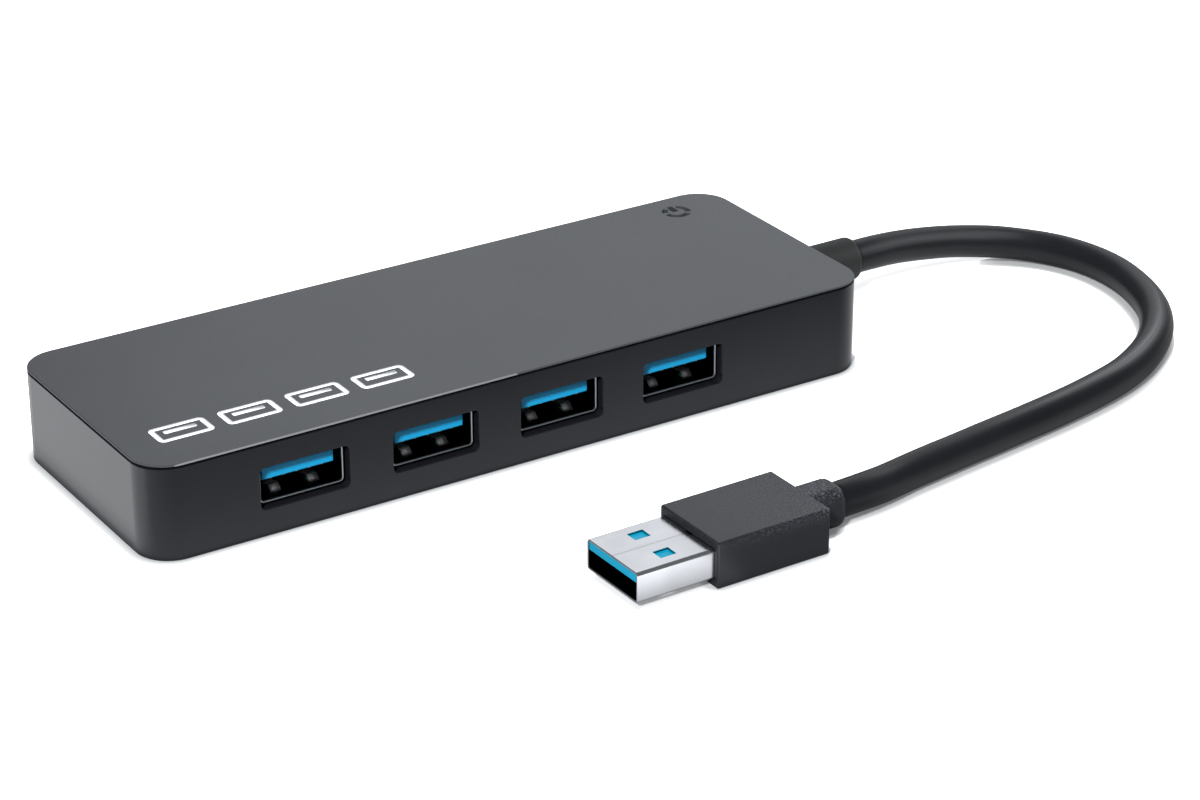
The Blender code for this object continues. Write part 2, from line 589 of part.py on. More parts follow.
def make_wires(parts):
    """The eight insulated wires from the jacket's inner end to their pads on the board."""
    pad_z = BOARD_TOP_Z + CLOSE_GAP + WIRE_RADIUS
    start_x = JACKET_INNER_X - FIT_GAP
    by_side = sorted(range(len(WIRE_COLORS)), key=wire_side)
    for number, (color_name, color) in enumerate(WIRE_COLORS.items()):
        angle = wire_angle(number)
        start = np.array((start_x, WIRE_RING * math.cos(angle), CABLE_Z + WIRE_RING * math.sin(angle)))
        place = by_side.index(number) - (len(WIRE_COLORS) - 1) / 2
        pad = np.array((WIRE_PAD_X, place * WIRE_PAD_PITCH, pad_z))
        share = np.linspace(0.0, 1.0, 9)[:, None]
        eased = share * share * (3 - 2 * share)
        points = start + (pad - start) * np.hstack([share, eased, eased])
        dress(tube(f"wire_{color_name}", points, WIRE_RADIUS, parts), color, 0.5)


def wire_angle(number):
    """Where a wire leaves the jacket, as an even share of a turn."""
    return (number + 0.5) * 2 * math.pi / len(WIRE_COLORS)


def wire_side(number):
    """A sorting key that spreads the wires over the pads without crossings."""
    angle = wire_angle(number)
    return math.cos(angle) * (1.0 + 0.3 * math.sin(angle))


def make_cable(parts, flange_x):
    """The cable from the relief to the plug, and its jacket's end inside the case."""
    route = np.asarray(CABLE_ROUTE_MM) * MM
    dress(tube("cable", smooth_path(route, CABLE_STEP), CABLE_RADIUS, parts, resolution=4),
          (0.02, 0.02, 0.022), 0.55)
    inner = rod("cable_inner_end", CABLE_RADIUS, (JACKET_INNER_X, 0, CABLE_Z),
                (flange_x - FIT_GAP, 0, CABLE_Z), parts)
    dress(inner, (0.02, 0.02, 0.022), 0.55)


# ---- Plug -------------------------------------------------------------------------------------
def centred_block(name, start_x, end_x, width, low_z, high_z, collection, **edges):
    """A block centred on the plug's own axis."""
    return block(name, (start_x, -width / 2, low_z), (end_x, width / 2, high_z), collection, axis=0, **edges)


def make_plug(parts, cutters):
    """The plug's shell, core, contacts and moulded grip, all in the plug's own frame."""
    frame = bpy.data.objects.new("plug_frame", None)
    frame.location = (*PLUG_TIP, 0.0)
    frame.rotation_euler = (0, 0, PLUG_TURN)
    parts.objects.link(frame)
    length, width, height = PLUG_SHELL
    low_z, high_z = PLUG_Z - height / 2, PLUG_Z + height / 2
    shell = centred_block("plug_shell", 0, length, width, low_z, high_z, parts,
                          corner=PLUG_SHELL_RADIUS, steps=3)
    shell_hollow = centred_block("plug_hollow", -MM, length + MM, width - 2 * SHELL_SHEET, low_z + SHELL_SHEET,
                                 high_z - SHELL_SHEET, cutters, corner=PLUG_SHELL_RADIUS - SHELL_SHEET, steps=2)
    cut(shell, shell_hollow)
    tools = [shell_hollow]
    for side in (-1, 1):
        y = side * PLUG_WINDOW_Y
        window = block(f"plug_window_{side}",
                       (PLUG_WINDOW_X - PLUG_WINDOW[0] / 2, y - PLUG_WINDOW[1] / 2, low_z - MM),
                       (PLUG_WINDOW_X + PLUG_WINDOW[0] / 2, y + PLUG_WINDOW[1] / 2, high_z + MM), cutters)
        cut(shell, window)
        tools.append(window)
    dress(shell, (0.8, 0.8, 0.82), 0.2, 1.0)

    core_top = high_z - SHELL_SHEET - 0.5 * CLOSE_GAP
    core_width = width - 2 * SHELL_SHEET - CLOSE_GAP
    core = centred_block("plug_insulator", PLUG_CORE_SETBACK, length - CLOSE_GAP, core_width,
                         core_top - PLUG_CORE_THICKNESS, core_top, parts)
    rear = centred_block("plug_core_rear", length - PLUG_CORE_REAR, length - CLOSE_GAP, core_width,
                         low_z + SHELL_SHEET + CLOSE_GAP, core_top, cutters)
    add(core, rear)
    tools.append(rear)
    dress(core, (0.01, 0.30, 0.75), 0.4)

    contact_top = core_top - PLUG_CORE_THICKNESS - CLOSE_GAP
    pieces = [shell, core]
    for number, (y, start) in enumerate(zip(CONTACT_X, PLUG_CONTACT_START)):
        contact = block(f"plug_contact_{number + 1}", (start, y - CONTACT_WIDTH / 2, contact_top - PLUG_CONTACT_SHEET),
                        (length - PLUG_CONTACT_END, y + CONTACT_WIDTH / 2, contact_top), parts)
        pieces.append(dress(contact, (0.85, 0.62, 0.25), 0.3, 1.0))

    grip = make_grip(parts, cutters, tools)
    pieces.append(grip)
    for piece in pieces + tools:
        piece.parent = frame


def make_grip(parts, cutters, tools):
    """The moulded grip: a box with a pocket for the shell, and a stub where the cable enters."""
    start = PLUG_BARE_LENGTH
    end = start + GRIP_SIZE[0]
    grip = centred_block("plug_overmould", start, end, GRIP_SIZE[1], 0.0, GRIP_SIZE[2], parts, corner=GRIP_EDGE,
                         steps=2, low_edge=GRIP_EDGE, high_edge=GRIP_EDGE)
    stub = centred_block("plug_stub", end - 2 * MM, end + STUB_LENGTH, STUB_SIDE, PLUG_Z - STUB_SIDE / 2,
                         PLUG_Z + STUB_SIDE / 2, cutters, corner=STUB_RADIUS, high_edge=STUB_EDGE)
    half_height = PLUG_SHELL[2] / 2 + CLOSE_GAP
    pocket = centred_block("grip_pocket", start - MM, PLUG_SHELL[0] + FIT_GAP, PLUG_SHELL[1] + 2 * CLOSE_GAP,
                           PLUG_Z - half_height, PLUG_Z + half_height, cutters, corner=PLUG_SHELL_RADIUS, steps=3)
    add(grip, stub)
    cut(grip, pocket)
    tools += [stub, pocket]
    return dress(grip, (0.03, 0.03, 0.032), 0.5)


def main():
    """Build every part of the hub."""
    clear_scene()
    parts = new_collection("usb_hub")
    cutters = new_collection("cutters")
    make_bottom_housing(parts, cutters)
    make_top_cover(parts, cutters)
    make_light(parts)
    make_board(parts, cutters)
    for index in range(PORT_COUNT):
        make_port_shell(index, parts, cutters)
        make_port_insulator(index, parts, cutters)
        for number in range(len(CONTACT_X)):
            make_port_contact(index, number, parts)
    flange_x = make_strain_relief(parts)
    make_wires(parts)
    make_cable(parts, flange_x)
    make_plug(parts, cutters)


main()
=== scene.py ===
"""A slim four-port USB hub with a captive cable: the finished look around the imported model.

Every length is in metres. X runs along the hub towards the cable, the ports open towards -Y,
and Z is up. The floor is Z = 0.
"""
import json
import logging
import math
from dataclasses import dataclass
from enum import Enum
from typing import Callable, Iterable, Sequence

import bpy
import numpy as np
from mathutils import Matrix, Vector


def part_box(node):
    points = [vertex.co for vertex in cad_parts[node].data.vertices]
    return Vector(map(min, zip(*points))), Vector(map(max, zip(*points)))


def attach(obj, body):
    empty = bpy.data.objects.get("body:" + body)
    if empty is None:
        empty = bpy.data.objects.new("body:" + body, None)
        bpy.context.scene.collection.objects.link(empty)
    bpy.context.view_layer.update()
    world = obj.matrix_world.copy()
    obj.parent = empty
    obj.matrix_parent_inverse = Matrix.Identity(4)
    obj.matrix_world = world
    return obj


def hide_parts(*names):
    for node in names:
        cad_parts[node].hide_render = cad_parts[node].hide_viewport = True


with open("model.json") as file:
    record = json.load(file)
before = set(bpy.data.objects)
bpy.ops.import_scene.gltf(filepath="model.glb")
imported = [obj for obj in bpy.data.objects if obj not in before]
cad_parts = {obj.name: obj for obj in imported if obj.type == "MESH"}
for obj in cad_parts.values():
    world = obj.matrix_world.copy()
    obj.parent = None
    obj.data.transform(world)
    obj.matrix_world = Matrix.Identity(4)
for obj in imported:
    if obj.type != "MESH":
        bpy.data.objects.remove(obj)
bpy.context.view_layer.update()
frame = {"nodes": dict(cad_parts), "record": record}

LOG = logging.getLogger("usb_hub")
MM = 0.001
ROOT = "root"
PORTS = (1, 2, 3, 4)
ALONG_X = (60.0, 6000.0, 6000.0)  # rolling lines: cells a metre along each axis
ALONG_Y = (6000.0, 60.0, 6000.0)
PORT_PLATING = (0.60, 0.60, 0.61)

Array = np.ndarray
Object = bpy.types.Object
Material = bpy.types.Material
Socket = bpy.types.NodeSocket
Pair = tuple[float, float]
Triple = tuple[float, float, float]
Feed = Socket | float | Sequence[float]

# The cable's route in metres: out of the relief, down to the table, round, and back to the plug.
CABLE_ROUTE = np.array((
    (72.5, 0.0, 7.2), (75.6, 0.2, 7.1), (79.1, 0.6, 6.8), (83.7, 1.1, 6.2), (88.3, 1.3, 5.5),
    (92.7, 1.2, 4.8), (96.7, 0.7, 4.1), (100.4, -0.4, 3.55), (103.5, -2.1, 3.1), (106.1, -4.4, 2.8),
    (108.1, -7.3, 2.65), (109.5, -10.9, 2.6), (110.2, -15.1, 2.6), (110.1, -19.9, 2.6),
    (108.9, -25.4, 2.6), (106.5, -31.4, 2.6), (102.3, -37.6, 2.6), (96.9, -42.6, 2.6),
    (91.2, -46.2, 2.6), (85.9, -48.6, 2.6), (81.0, -50.1, 2.6), (72.0, -52.1, 2.6),
    (63.4, -53.5, 2.6), (55.1, -54.7, 2.6), (46.9, -55.9, 2.6), (39.0, -57.2, 2.65),
    (34.8, -58.2, 2.85), (31.2, -59.05, 3.2), (28.6, -59.5, 3.4), (25.95, -59.75, 3.46),
)) * MM


class Side(Enum):
    """Which side of a middle plane a repeated feature sits on."""

    LOW = -1
    HIGH = 1


class Axis(Enum):
    """The axis that a shape's sections are strung along."""

    X = 0
    Y = 1
    Z = 2


# ---- Shapes as grids of points -------------------------------------------------------------------
def rounded_loop(width: float, height: float, radius: float, steps: int = 6, splits: int = 1) -> Array:
    """Points round a rectangle whose corners are quarter circles.

    A corner's points are its centre plus the radius times (cos, sin) of an angle that runs a
    quarter turn, so the loop runs counter-clockwise; each straight side is split evenly.

    Args:
        width: Size along the first direction.
        height: Size along the second direction.
        radius: Corner radius.
        steps: Facets in a corner.
        splits: Parts in a straight side.

    Returns:
        An (n, 2) array.
    """
    radius = max(radius, 1e-6)
    middle = np.array([width / 2 - radius, height / 2 - radius])
    signs = np.array([[1, -1], [1, 1], [-1, 1], [-1, -1]])
    starts = np.radians([-90.0, 0.0, 90.0, 180.0])
    turn = np.linspace(0.0, math.pi / 2, steps + 1)
    angles = starts[:, None] + turn[None, :]
    corners = signs[:, None, :] * middle + radius * np.stack([np.cos(angles), np.sin(angles)], axis=-1)
    ends = np.roll(corners, -1, axis=0)[:, :1]
    share = (np.arange(1, splits) / splits)[None, :, None]
    sides = corners[:, -1:] * (1 - share) + ends * share
    return np.concatenate([corners, sides], axis=1).reshape(-1, 2)


def circle_loop(radius: float, sides: int = 48) -> Array:
    """Points round a circle, counter-clockwise, as radius times (cos, sin) of an even angle."""
    angle = np.linspace(0.0, 2 * math.pi, sides, endpoint=False)
    return radius * np.stack([np.cos(angle), np.sin(angle)], axis=1)


def quarter_round(radius: float, steps: int = 4) -> Array:
    """Inset and rise of a quarter-round edge: r(1 - sin t) and r(1 - cos t), t from 0 to 90 degrees."""
    turn = np.linspace(0.0, math.pi / 2, steps + 1)
    return radius * np.stack([1 - np.sin(turn), 1 - np.cos(turn)], axis=1)


def strung(sections: Sequence[Array], levels: Sequence[float], axis: Axis) -> Array:
    """Place flat sections at levels along an axis, so that a counter-clockwise loop faces outwards.

    Args:
        sections: Loops of (n, 2) points, all with the same n.
        levels: Where each section sits along the axis.
        axis: X uses (y, z) sections, Y uses (z, x) sections and Z uses (x, y) sections.

    Returns:
        An array of shape (sections, n, 3).
    """
    flat = np.stack([np.asarray(section) for section in sections])
    rise = np.broadcast_to(np.asarray(levels, float)[:, None, None], (*flat.shape[:2], 1))
    grid = np.concatenate([flat, rise], axis=2)
    return np.roll(grid, axis.value + 1, axis=2)


def added(name: str, data: bpy.types.ID) -> Object:
    """A new object in the scene, around its data."""
    obj = bpy.data.objects.new(name, data)
    bpy.context.scene.collection.objects.link(obj)
    return obj


def surface(name: str, grid: Array, ring: bool = False) -> Object:
    """Make a mesh from a grid of points whose columns close on themselves.

    Args:
        name: The object's name.
        grid: Points of shape (rows, columns, 3).
        ring: Join the last row to the first, as on a torus. Otherwise both ends are capped.

    Returns:
        The new object, shaded smooth.
    """
    rows, columns = grid.shape[:2]
    index = np.arange(rows * columns).reshape(rows, columns)
    low = index if ring else index[:-1]
    high = np.roll(index, -1, axis=0) if ring else index[1:]
    quads = np.stack([low, np.roll(low, -1, axis=1), np.roll(high, -1, axis=1), high], axis=-1)
    faces = quads.reshape(-1, 4).tolist()
    if not ring:
        faces += [index[0, ::-1].tolist(), index[-1].tolist()]
    mesh = bpy.data.meshes.new(name)
    mesh.from_pydata(grid.reshape(-1, 3).tolist(), [], faces)
    mesh.shade_smooth()
    return added(name, mesh)


def block(name: str, low: Sequence[float], high: Sequence[float], axis: Axis = Axis.Z,
          corner: float = 0.0, edge: float = 0.0, steps: int = 5) -> Object:
    """A box with rounded corners about one axis and quarter-round rims at both ends.

    Args:
        name: The object's name.
        low: Lowest corner.
        high: Highest corner.
        axis: The axis that the corners are rounded about.
        corner: Corner radius.
        edge: Radius of the rims.
        steps: Facets in a corner.

    Returns:
        The new object.
    """
    low, high = np.asarray(low, float), np.asarray(high, float)
    along = axis.value
    across = ((along + 1) % 3, (along + 2) % 3)
    size = (high - low)[list(across)]
    middle = ((high + low) / 2)[list(across)]
    rim = quarter_round(edge, 3) if edge else np.zeros((1, 2))
    insets = np.concatenate([rim[:, 0], rim[::-1, 0]])
    levels = np.concatenate([low[along] + rim[:, 1], high[along] - rim[::-1, 1]])
    sections = [rounded_loop(size[0] - 2 * inset, size[1] - 2 * inset, corner - inset, steps) + middle
                for inset in insets]
    return surface(name, strung(sections, levels, axis))


def revolved(name: str, profile: Array, origin: Sequence[float], sides: int = 64) -> Object:
    """Turn a profile about a line parallel to X: a point is (x, r cos t, r sin t) from the origin.

    Args:
        name: The object's name.
        profile: (x, radius) points that start and end at a radius near zero.
        origin: A point on the axis.
        sides: Facets round the axis.

    Returns:
        The new object.
    """
    unit = circle_loop(1.0, sides)
    sections = [unit * max(radius, 1e-6) for radius in profile[:, 1]]
    grid = strung(sections, profile[:, 0], Axis.X) + np.asarray(origin, float)
    return surface(name, grid)


def smooth_route(route: Array, count: int) -> Array:
    """Even points on the natural cubic curve through a route.

    Between two knots the curve is the straight blend a*p0 + b*p1 plus the bending terms
    ((a^3 - a) m0 + (b^3 - b) m1) h^2 / 6, and the bends m solve the usual tridiagonal system.

    Args:
        route: Knots of shape (n, 3).
        count: Number of points to return.

    Returns:
        An array of shape (count, 3).
    """
    chord = np.concatenate([[0.0], np.cumsum(np.linalg.norm(np.diff(route, axis=0), axis=1))])
    gap = np.diff(chord)
    last = len(route) - 1
    system = np.eye(last + 1)
    inner = np.arange(1, last)
    system[inner, inner - 1] = gap[:-1]
    system[inner, inner] = 2 * (gap[:-1] + gap[1:])
    system[inner, inner + 1] = gap[1:]
    slopes = np.diff(route, axis=0) / gap[:, None]
    right = np.zeros_like(route)
    right[1:-1] = 6 * np.diff(slopes, axis=0)
    bend = np.linalg.solve(system, right)
    along = np.linspace(0.0, chord[-1], count)
    left = np.clip(np.searchsorted(chord, along, side="right") - 1, 0, last - 1)
    a = ((chord[left + 1] - along) / gap[left])[:, None]
    b = 1 - a
    return (a * route[left] + b * route[left + 1]
            + ((a ** 3 - a) * bend[left] + (b ** 3 - b) * bend[left + 1]) * (gap[left] ** 2)[:, None] / 6)


def swept_tube(name: str, path: Array, radii: Array, sides: int = 40) -> Object:
    """A round tube: path point + radius * (sin t * up - cos t * side), with side level.

    Args:
        name: The object's name.
        path: Centre line, shape (n, 3).
        radii: Radius at each point, shape (n,).
        sides: Facets round the tube.

    Returns:
        The new object, with a UV map of (length along, turn round) in metres and turns.
    """
    run = np.gradient(path, axis=0)
    run /= np.linalg.norm(run, axis=1)[:, None]
    side = np.cross(run, [0.0, 0.0, 1.0])
    side /= np.linalg.norm(side, axis=1)[:, None]
    up = np.cross(side, run)
    turn = np.linspace(0.0, 2 * math.pi, sides, endpoint=False)
    spoke = -np.cos(turn)[None, :, None] * side[:, None] + np.sin(turn)[None, :, None] * up[:, None]
    tube = surface(name, path[:, None] + radii[:, None, None] * spoke)
    along = np.concatenate([[0.0], np.cumsum(np.linalg.norm(np.diff(path, axis=0), axis=1))])
    lay_uv(tube, np.repeat(along, sides), np.tile(np.arange(sides) / sides, len(path)))
    return tube


def lay_uv(obj: Object, u: Array, v: Array) -> None:
    """Give each face corner its vertex's (u, v), and mend the seam where v wraps from 1 to 0.

    Args:
        obj: The object, one (u, v) a vertex.
        u: First coordinate of each vertex.
        v: Second coordinate of each vertex, from 0 to 1.
    """
    mesh = obj.data
    corner_vertex = np.zeros(len(mesh.loops), dtype=np.int64)
    mesh.loops.foreach_get("vertex_index", corner_vertex)
    corner_u, corner_v = u[corner_vertex], v[corner_vertex].copy()
    totals = np.zeros(len(mesh.polygons), dtype=np.int64)
    mesh.polygons.foreach_get("loop_total", totals)
    owner = np.repeat(np.arange(len(totals)), totals)
    highest = np.zeros(len(totals))
    np.maximum.at(highest, owner, corner_v)
    wraps = (highest[owner] > 0.75) & (corner_v < 0.25) & (totals[owner] == 4)
    corner_v[wraps] += 1.0
    layer = mesh.uv_layers.new(name="run")
    layer.data.foreach_set("uv", np.stack([corner_u, corner_v], axis=1).ravel())


def strip_along(centres: Array, width: float, thickness: float, across: Sequence[float]) -> Array:
    """A flat strip of metal as a grid: a rectangle carried along a bent line.

    Args:
        centres: The line through the strip's middle, shape (n, 3).
        width: Width along the across direction.
        thickness: Sheet thickness.
        across: Unit vector of the width.

    Returns:
        A grid of shape (n, 4, 3) for surface().
    """
    across = np.asarray(across, float)
    run = np.gradient(centres, axis=0)
    run /= np.linalg.norm(run, axis=1)[:, None]
    up = np.cross(run, across)
    signs = np.array([[-1, -1], [1, -1], [1, 1], [-1, 1]], float) / 2
    return (centres[:, None] + signs[None, :, :1] * width * across
            + signs[None, :, 1:] * thickness * up[:, None])


def folded_tube(name: str, section: Callable[[float], Array], mouth: float, back: float, sheet: float,
                axis: Axis, steps: int) -> Object:
    """A tube of folded sheet with a rounded lip at its mouth.

    Args:
        name: The object's name.
        section: The tube's outline, drawn in by an inset.
        mouth: Where the lip is along the axis.
        back: Where the tube ends.
        sheet: Sheet thickness.
        axis: The axis that the tube runs along.
        steps: Facets in each half of the lip.

    Returns:
        The new object.
    """
    lip = quarter_round(sheet / 2, steps)
    insets = [0.0, *lip[::-1, 0], *(sheet - lip[:, 0]), sheet]
    levels = [back, *(mouth + lip[::-1, 1]), *(mouth + lip[:, 1]), back]
    grid = strung([section(inset) for inset in insets], levels, axis)
    return surface(name, grid[::-1], ring=True)


def merged(name: str, objects: Iterable[Object]) -> Object:
    """Join several objects into one mesh with a new name."""
    objects = list(objects)
    with bpy.context.temp_override(active_object=objects[0], selected_editable_objects=objects,
                                   selected_objects=objects):
        bpy.ops.object.join()
    objects[0].name = name
    objects[0].data.name = name
    return objects[0]


# ---- Cutting and finishing -----------------------------------------------------------------------
def carve(target: Object, tools: Sequence[Object], operation: str = "DIFFERENCE") -> None:
    """Cut tools from a target, or join them on, and delete the tools."""
    for tool in tools:
        modifier = target.modifiers.new("carve", "BOOLEAN")
        modifier.operation = operation
        modifier.object = tool
    settle(target)
    for tool in tools:
        bpy.data.objects.remove(tool, do_unlink=True)


def settle(target: Object) -> None:
    """Replace an object's mesh by the one its modifiers give, and drop the modifiers."""
    bpy.context.view_layer.update()
    graph = bpy.context.evaluated_depsgraph_get()
    mesh = bpy.data.meshes.new_from_object(target.evaluated_get(graph))
    target.modifiers.clear()
    target.data = mesh


def soften(target: Object, width: float, segments: int = 3, angle: float = 35.0) -> None:
    """Round every edge sharper than an angle, then weight the normals so that flat faces look flat."""
    bevel = target.modifiers.new("soften", "BEVEL")
    bevel.width = width
    bevel.segments = segments
    bevel.limit_method = "ANGLE"
    bevel.angle_limit = math.radians(angle)
    bevel.miter_outer = "MITER_ARC"
    settle(target)
    crisp(target)


def crisp(target: Object, angle: float = 40.0) -> None:
    """Shade smooth with creases past an angle, and weight the normals by face area."""
    target.data.shade_smooth()
    target.data.set_sharp_from_angle(angle=math.radians(angle))
    weighted = target.modifiers.new("weighted", "WEIGHTED_NORMAL")
    weighted.keep_sharp = True
    settle(target)


# ---- Finishes ------------------------------------------------------------------------------------
def scaled(color: Triple, factor: float) -> Triple:
    """A colour made darker or lighter by a factor."""
    return tuple(channel * factor for channel in color)


@dataclass(frozen=True)
class Region:
    """A box on Object coordinates, turned about Z, where a finish is different."""

    centre: Triple
    half: Triple
    turn: float = 0.0


class NodeBench:
    """A material's node tree, with short ways to add and join nodes."""

    def __init__(self, name: str) -> None:
        """Start a material with its Principled shader."""
        self.material = bpy.data.materials.new(name)
        self.material.use_nodes = True
        self.tree = self.material.node_tree
        self.shader = self.tree.nodes["Principled BSDF"]

    def feed(self, target: Socket, value: Feed) -> None:
        """Link a socket to the target, or set the target to a constant."""
        if isinstance(value, Socket):
            self.tree.links.new(value, target)
        else:
            target.default_value = value

    def add(self, kind: str, inputs: dict[str | int, Feed] | None = None,
            **settings: object) -> bpy.types.Node:
        """Add a node.

        Args:
            kind: The node's type, without the ShaderNode in front.
            inputs: What goes into its sockets, by name or by place.
            settings: Its own properties.

        Returns:
            The node.
        """
        node = self.tree.nodes.new("ShaderNode" + kind)
        for name, value in settings.items():
            setattr(node, name, value)
        for place, value in (inputs or {}).items():
            self.feed(node.inputs[place], value)
        return node

    def shade(self, inputs: dict[str, Feed]) -> None:
        """Feed the shader's own sockets by name."""
        for name, value in inputs.items():
            self.feed(self.shader.inputs[name], value)

    def place(self, stretch: Triple = (1.0, 1.0, 1.0), source: str = "Object") -> Socket:
        """Object or UV coordinates, stretched by a Mapping node."""
        coordinates = self.add("TexCoord").outputs[source]
        return self.add("Mapping", {"Vector": coordinates, "Scale": stretch}).outputs["Vector"]

    def split(self, vector: Socket) -> tuple[Socket, ...]:
        """The X, Y and Z of a vector."""
        return tuple(self.add("SeparateXYZ", {"Vector": vector}).outputs)

    def noise(self, place: Socket, scale: float, detail: float = 3.0, rough: float = 0.5) -> Socket:
        """Fractal noise with this many cells a metre."""
        inputs = {"Vector": place, "Scale": scale, "Detail": detail, "Roughness": rough}
        return self.add("TexNoise", inputs).outputs["Fac"]

    def ramp(self, value: Socket, low: float, high: float, out: Pair = (0.0, 1.0)) -> Socket:
        """Map a value from one range to another, clamped."""
        inputs = {"Value": value, "From Min": low, "From Max": high, "To Min": out[0], "To Max": out[1]}
        return self.add("MapRange", inputs).outputs["Result"]

    def spread(self, noise: Socket, out: Pair = (0.0, 1.0)) -> Socket:
        """Stretch the band from 0.3 to 0.7, where most of a noise lies, over a range."""
        return self.ramp(noise, 0.3, 0.7, out)

    def times(self, first: Socket, second: Socket) -> Socket:
        """Multiply two values."""
        return self.add("Math", {0: first, 1: second}, operation="MULTIPLY").outputs["Value"]

    def total(self, first: Socket, *others: Feed) -> Socket:
        """Add values up."""
        for other in others:
            first = self.add("Math", {0: first, 1: other}, operation="ADD").outputs["Value"]
        return first

    def blend(self, first: Feed, second: Feed, share: Socket) -> Socket:
        """Go from one value to another as the share rises from 0 to 1."""
        return self.add("Mix", {0: share, 2: first, 3: second}, data_type="FLOAT").outputs[0]

    def inside(self, region: Region) -> Socket:
        """1 within a region and 0 outside it: no offset from its centre passes its half size."""
        offset = self.add("VectorMath", {0: self.place(), 1: region.centre}, operation="SUBTRACT")
        straight = self.add("VectorRotate", {"Vector": offset.outputs["Vector"], "Angle": -region.turn},
                            rotation_type="Z_AXIS")
        distance = self.add("VectorMath", {0: straight.outputs["Vector"]}, operation="ABSOLUTE")
        x, y, z = (self.add("Math", {0: part, 1: reach}, operation="LESS_THAN").outputs["Value"]
                   for part, reach in zip(self.split(distance.outputs["Vector"]), region.half))
        return self.times(self.times(x, y), z)

    def mix_colors(self, share: Socket, first: Feed, second: Feed) -> None:
        """Colour the shader from the first to the second colour as the share rises from 0 to 1."""
        mixed = self.add("Mix", {0: share, 6: first, 7: second}, data_type="RGBA")
        self.shade({"Base Color": mixed.outputs[2]})

    def tint(self, share: Socket, first: Triple, second: Triple) -> None:
        """Colour the shader between two colours by a value from 0 to 1."""
        self.mix_colors(share, (*first, 1.0), (*second, 1.0))

    def overlay(self, mask: Socket, color: Triple) -> None:
        """Lay a colour over the shader's colour where the mask is 1."""
        self.mix_colors(mask, self.shader.inputs["Base Color"].links[0].from_socket, (*color, 1.0))

    def gloss(self, noise: Socket, roughness: float, swing: float) -> None:
        """Let the shader's roughness swing about its middle with a noise."""
        self.shade({"Roughness": self.spread(noise, (roughness - swing, roughness + swing))})

    def relief(self, height: Socket, depth: float, strength: Feed = 1.0,
               under: Socket | None = None) -> Socket:
        """Bump the surface by a height map of a depth in metres, over another bump if one is given."""
        inputs = {"Height": height, "Distance": depth, "Strength": strength}
        if under is not None:
            inputs["Normal"] = under
        normal = self.add("Bump", inputs).outputs["Normal"]
        self.shade({"Normal": normal})
        return normal


@dataclass(frozen=True)
class MouldedPlastic:
    """A moulded plastic with a spark-eroded grain: fine bumps, faint mottling and uneven gloss.

    With a grain run, the bumps grow along X over it, and lighter specks on them near the top are a
    painted highlight of the grain catching the light. A region can take a paler colour: a painted highlight
    along an edge.
    """

    name: str
    color: Triple
    roughness: float
    grain: float = 3200.0
    grain_depth: float = 0.012 * MM
    mottle: float = 0.12
    specular: float = 0.5
    grain_run: Pair | None = None
    speck_highlight_rise: Pair = (4.9 * MM, 6.4 * MM)
    speck_highlight: float = 0.0
    painted_edge_highlight: Region | None = None
    painted_edge_highlight_color: Triple = (0.13, 0.13, 0.135)

    def build(self) -> Material:
        """Make the material."""
        bench = NodeBench(self.name)
        place = bench.place()
        fine = bench.noise(place, self.grain, 2.0 if self.grain_run else 4.0, 0.6)
        share = bench.spread(bench.noise(place, 60.0))
        strength = 1.0
        if self.grain_run:
            x, _, z = bench.split(place)
            # Painted highlight: lighter specks on the grain, only near the top and more of them towards the
            # rear.
            grown = bench.times(bench.ramp(x, *self.grain_run, (0.15, 1.0)),
                                bench.ramp(z, *self.speck_highlight_rise, (0.05, 1.0)))
            share = bench.times(bench.ramp(fine, 0.5, 0.62), grown)
            strength = bench.ramp(x, *self.grain_run, (0.2, 1.0))
        lighter = 1 + max(self.mottle, self.speck_highlight)
        bench.tint(share, scaled(self.color, 1 - self.mottle), scaled(self.color, lighter))
        # Painted highlight: a paler colour laid over the region, standing in for light along an edge.
        if self.painted_edge_highlight:
            bench.overlay(bench.inside(self.painted_edge_highlight), self.painted_edge_highlight_color)
        bench.gloss(fine, self.roughness, 0.05)
        bench.shade({"Specular IOR Level": self.specular})
        bench.relief(fine, self.grain_depth, strength)
        return bench.material


@dataclass(frozen=True)
class CableJacket:
    """An extruded jacket: fine lengthwise draw lines, soft rings from coiling, and a waxy gloss."""

    name: str
    color: Triple
    roughness: float

    def build(self) -> Material:
        """Make the material; it follows the tube's own UV map of (length, turn)."""
        bench = NodeBench(self.name)
        lines = bench.noise(bench.place((40.0, 60.0, 1.0), "UV"), 1.0)
        waves = bench.noise(bench.place((90.0, 2.0, 1.0), "UV"), 1.0, 2.0)
        grain = bench.noise(bench.place(), 2600.0)
        bench.tint(bench.spread(waves), scaled(self.color, 0.85), scaled(self.color, 1.2))
        bench.gloss(lines, self.roughness, 0.06)
        bench.shade({"Specular IOR Level": 0.33})
        under = bench.relief(waves, 0.03 * MM, 0.6)
        bench.relief(grain, 0.006 * MM, 0.6, under)
        return bench.material


@dataclass(frozen=True)
class PlatedSteel:
    """Bright plated sheet: fine rolling lines along one axis, faint smudges, and painted shade that darkens
    its hollow.
    """

    name: str
    color: Triple
    roughness: float
    stretch: Triple = ALONG_X
    hollow: Region | None = None
    hollow_shade: float = 0.03

    def build(self) -> Material:
        """Make the material."""
        bench = NodeBench(self.name)
        lines = bench.noise(bench.place(self.stretch), 1.0)
        dark = bench.ramp(bench.noise(bench.place(), 220.0), 0.3, 0.75, (0.0, 0.12))
        # Painted shade: inside the hollow the plating is coloured near black.
        if self.hollow:
            dark = bench.blend(dark, 1.0, bench.inside(self.hollow))
        bench.tint(dark, self.color, scaled(self.color, self.hollow_shade))
        bench.gloss(lines, self.roughness, 0.03)
        bench.shade({"Metallic": 1.0})
        bench.relief(lines, 0.0005 * MM, 0.3)
        return bench.material


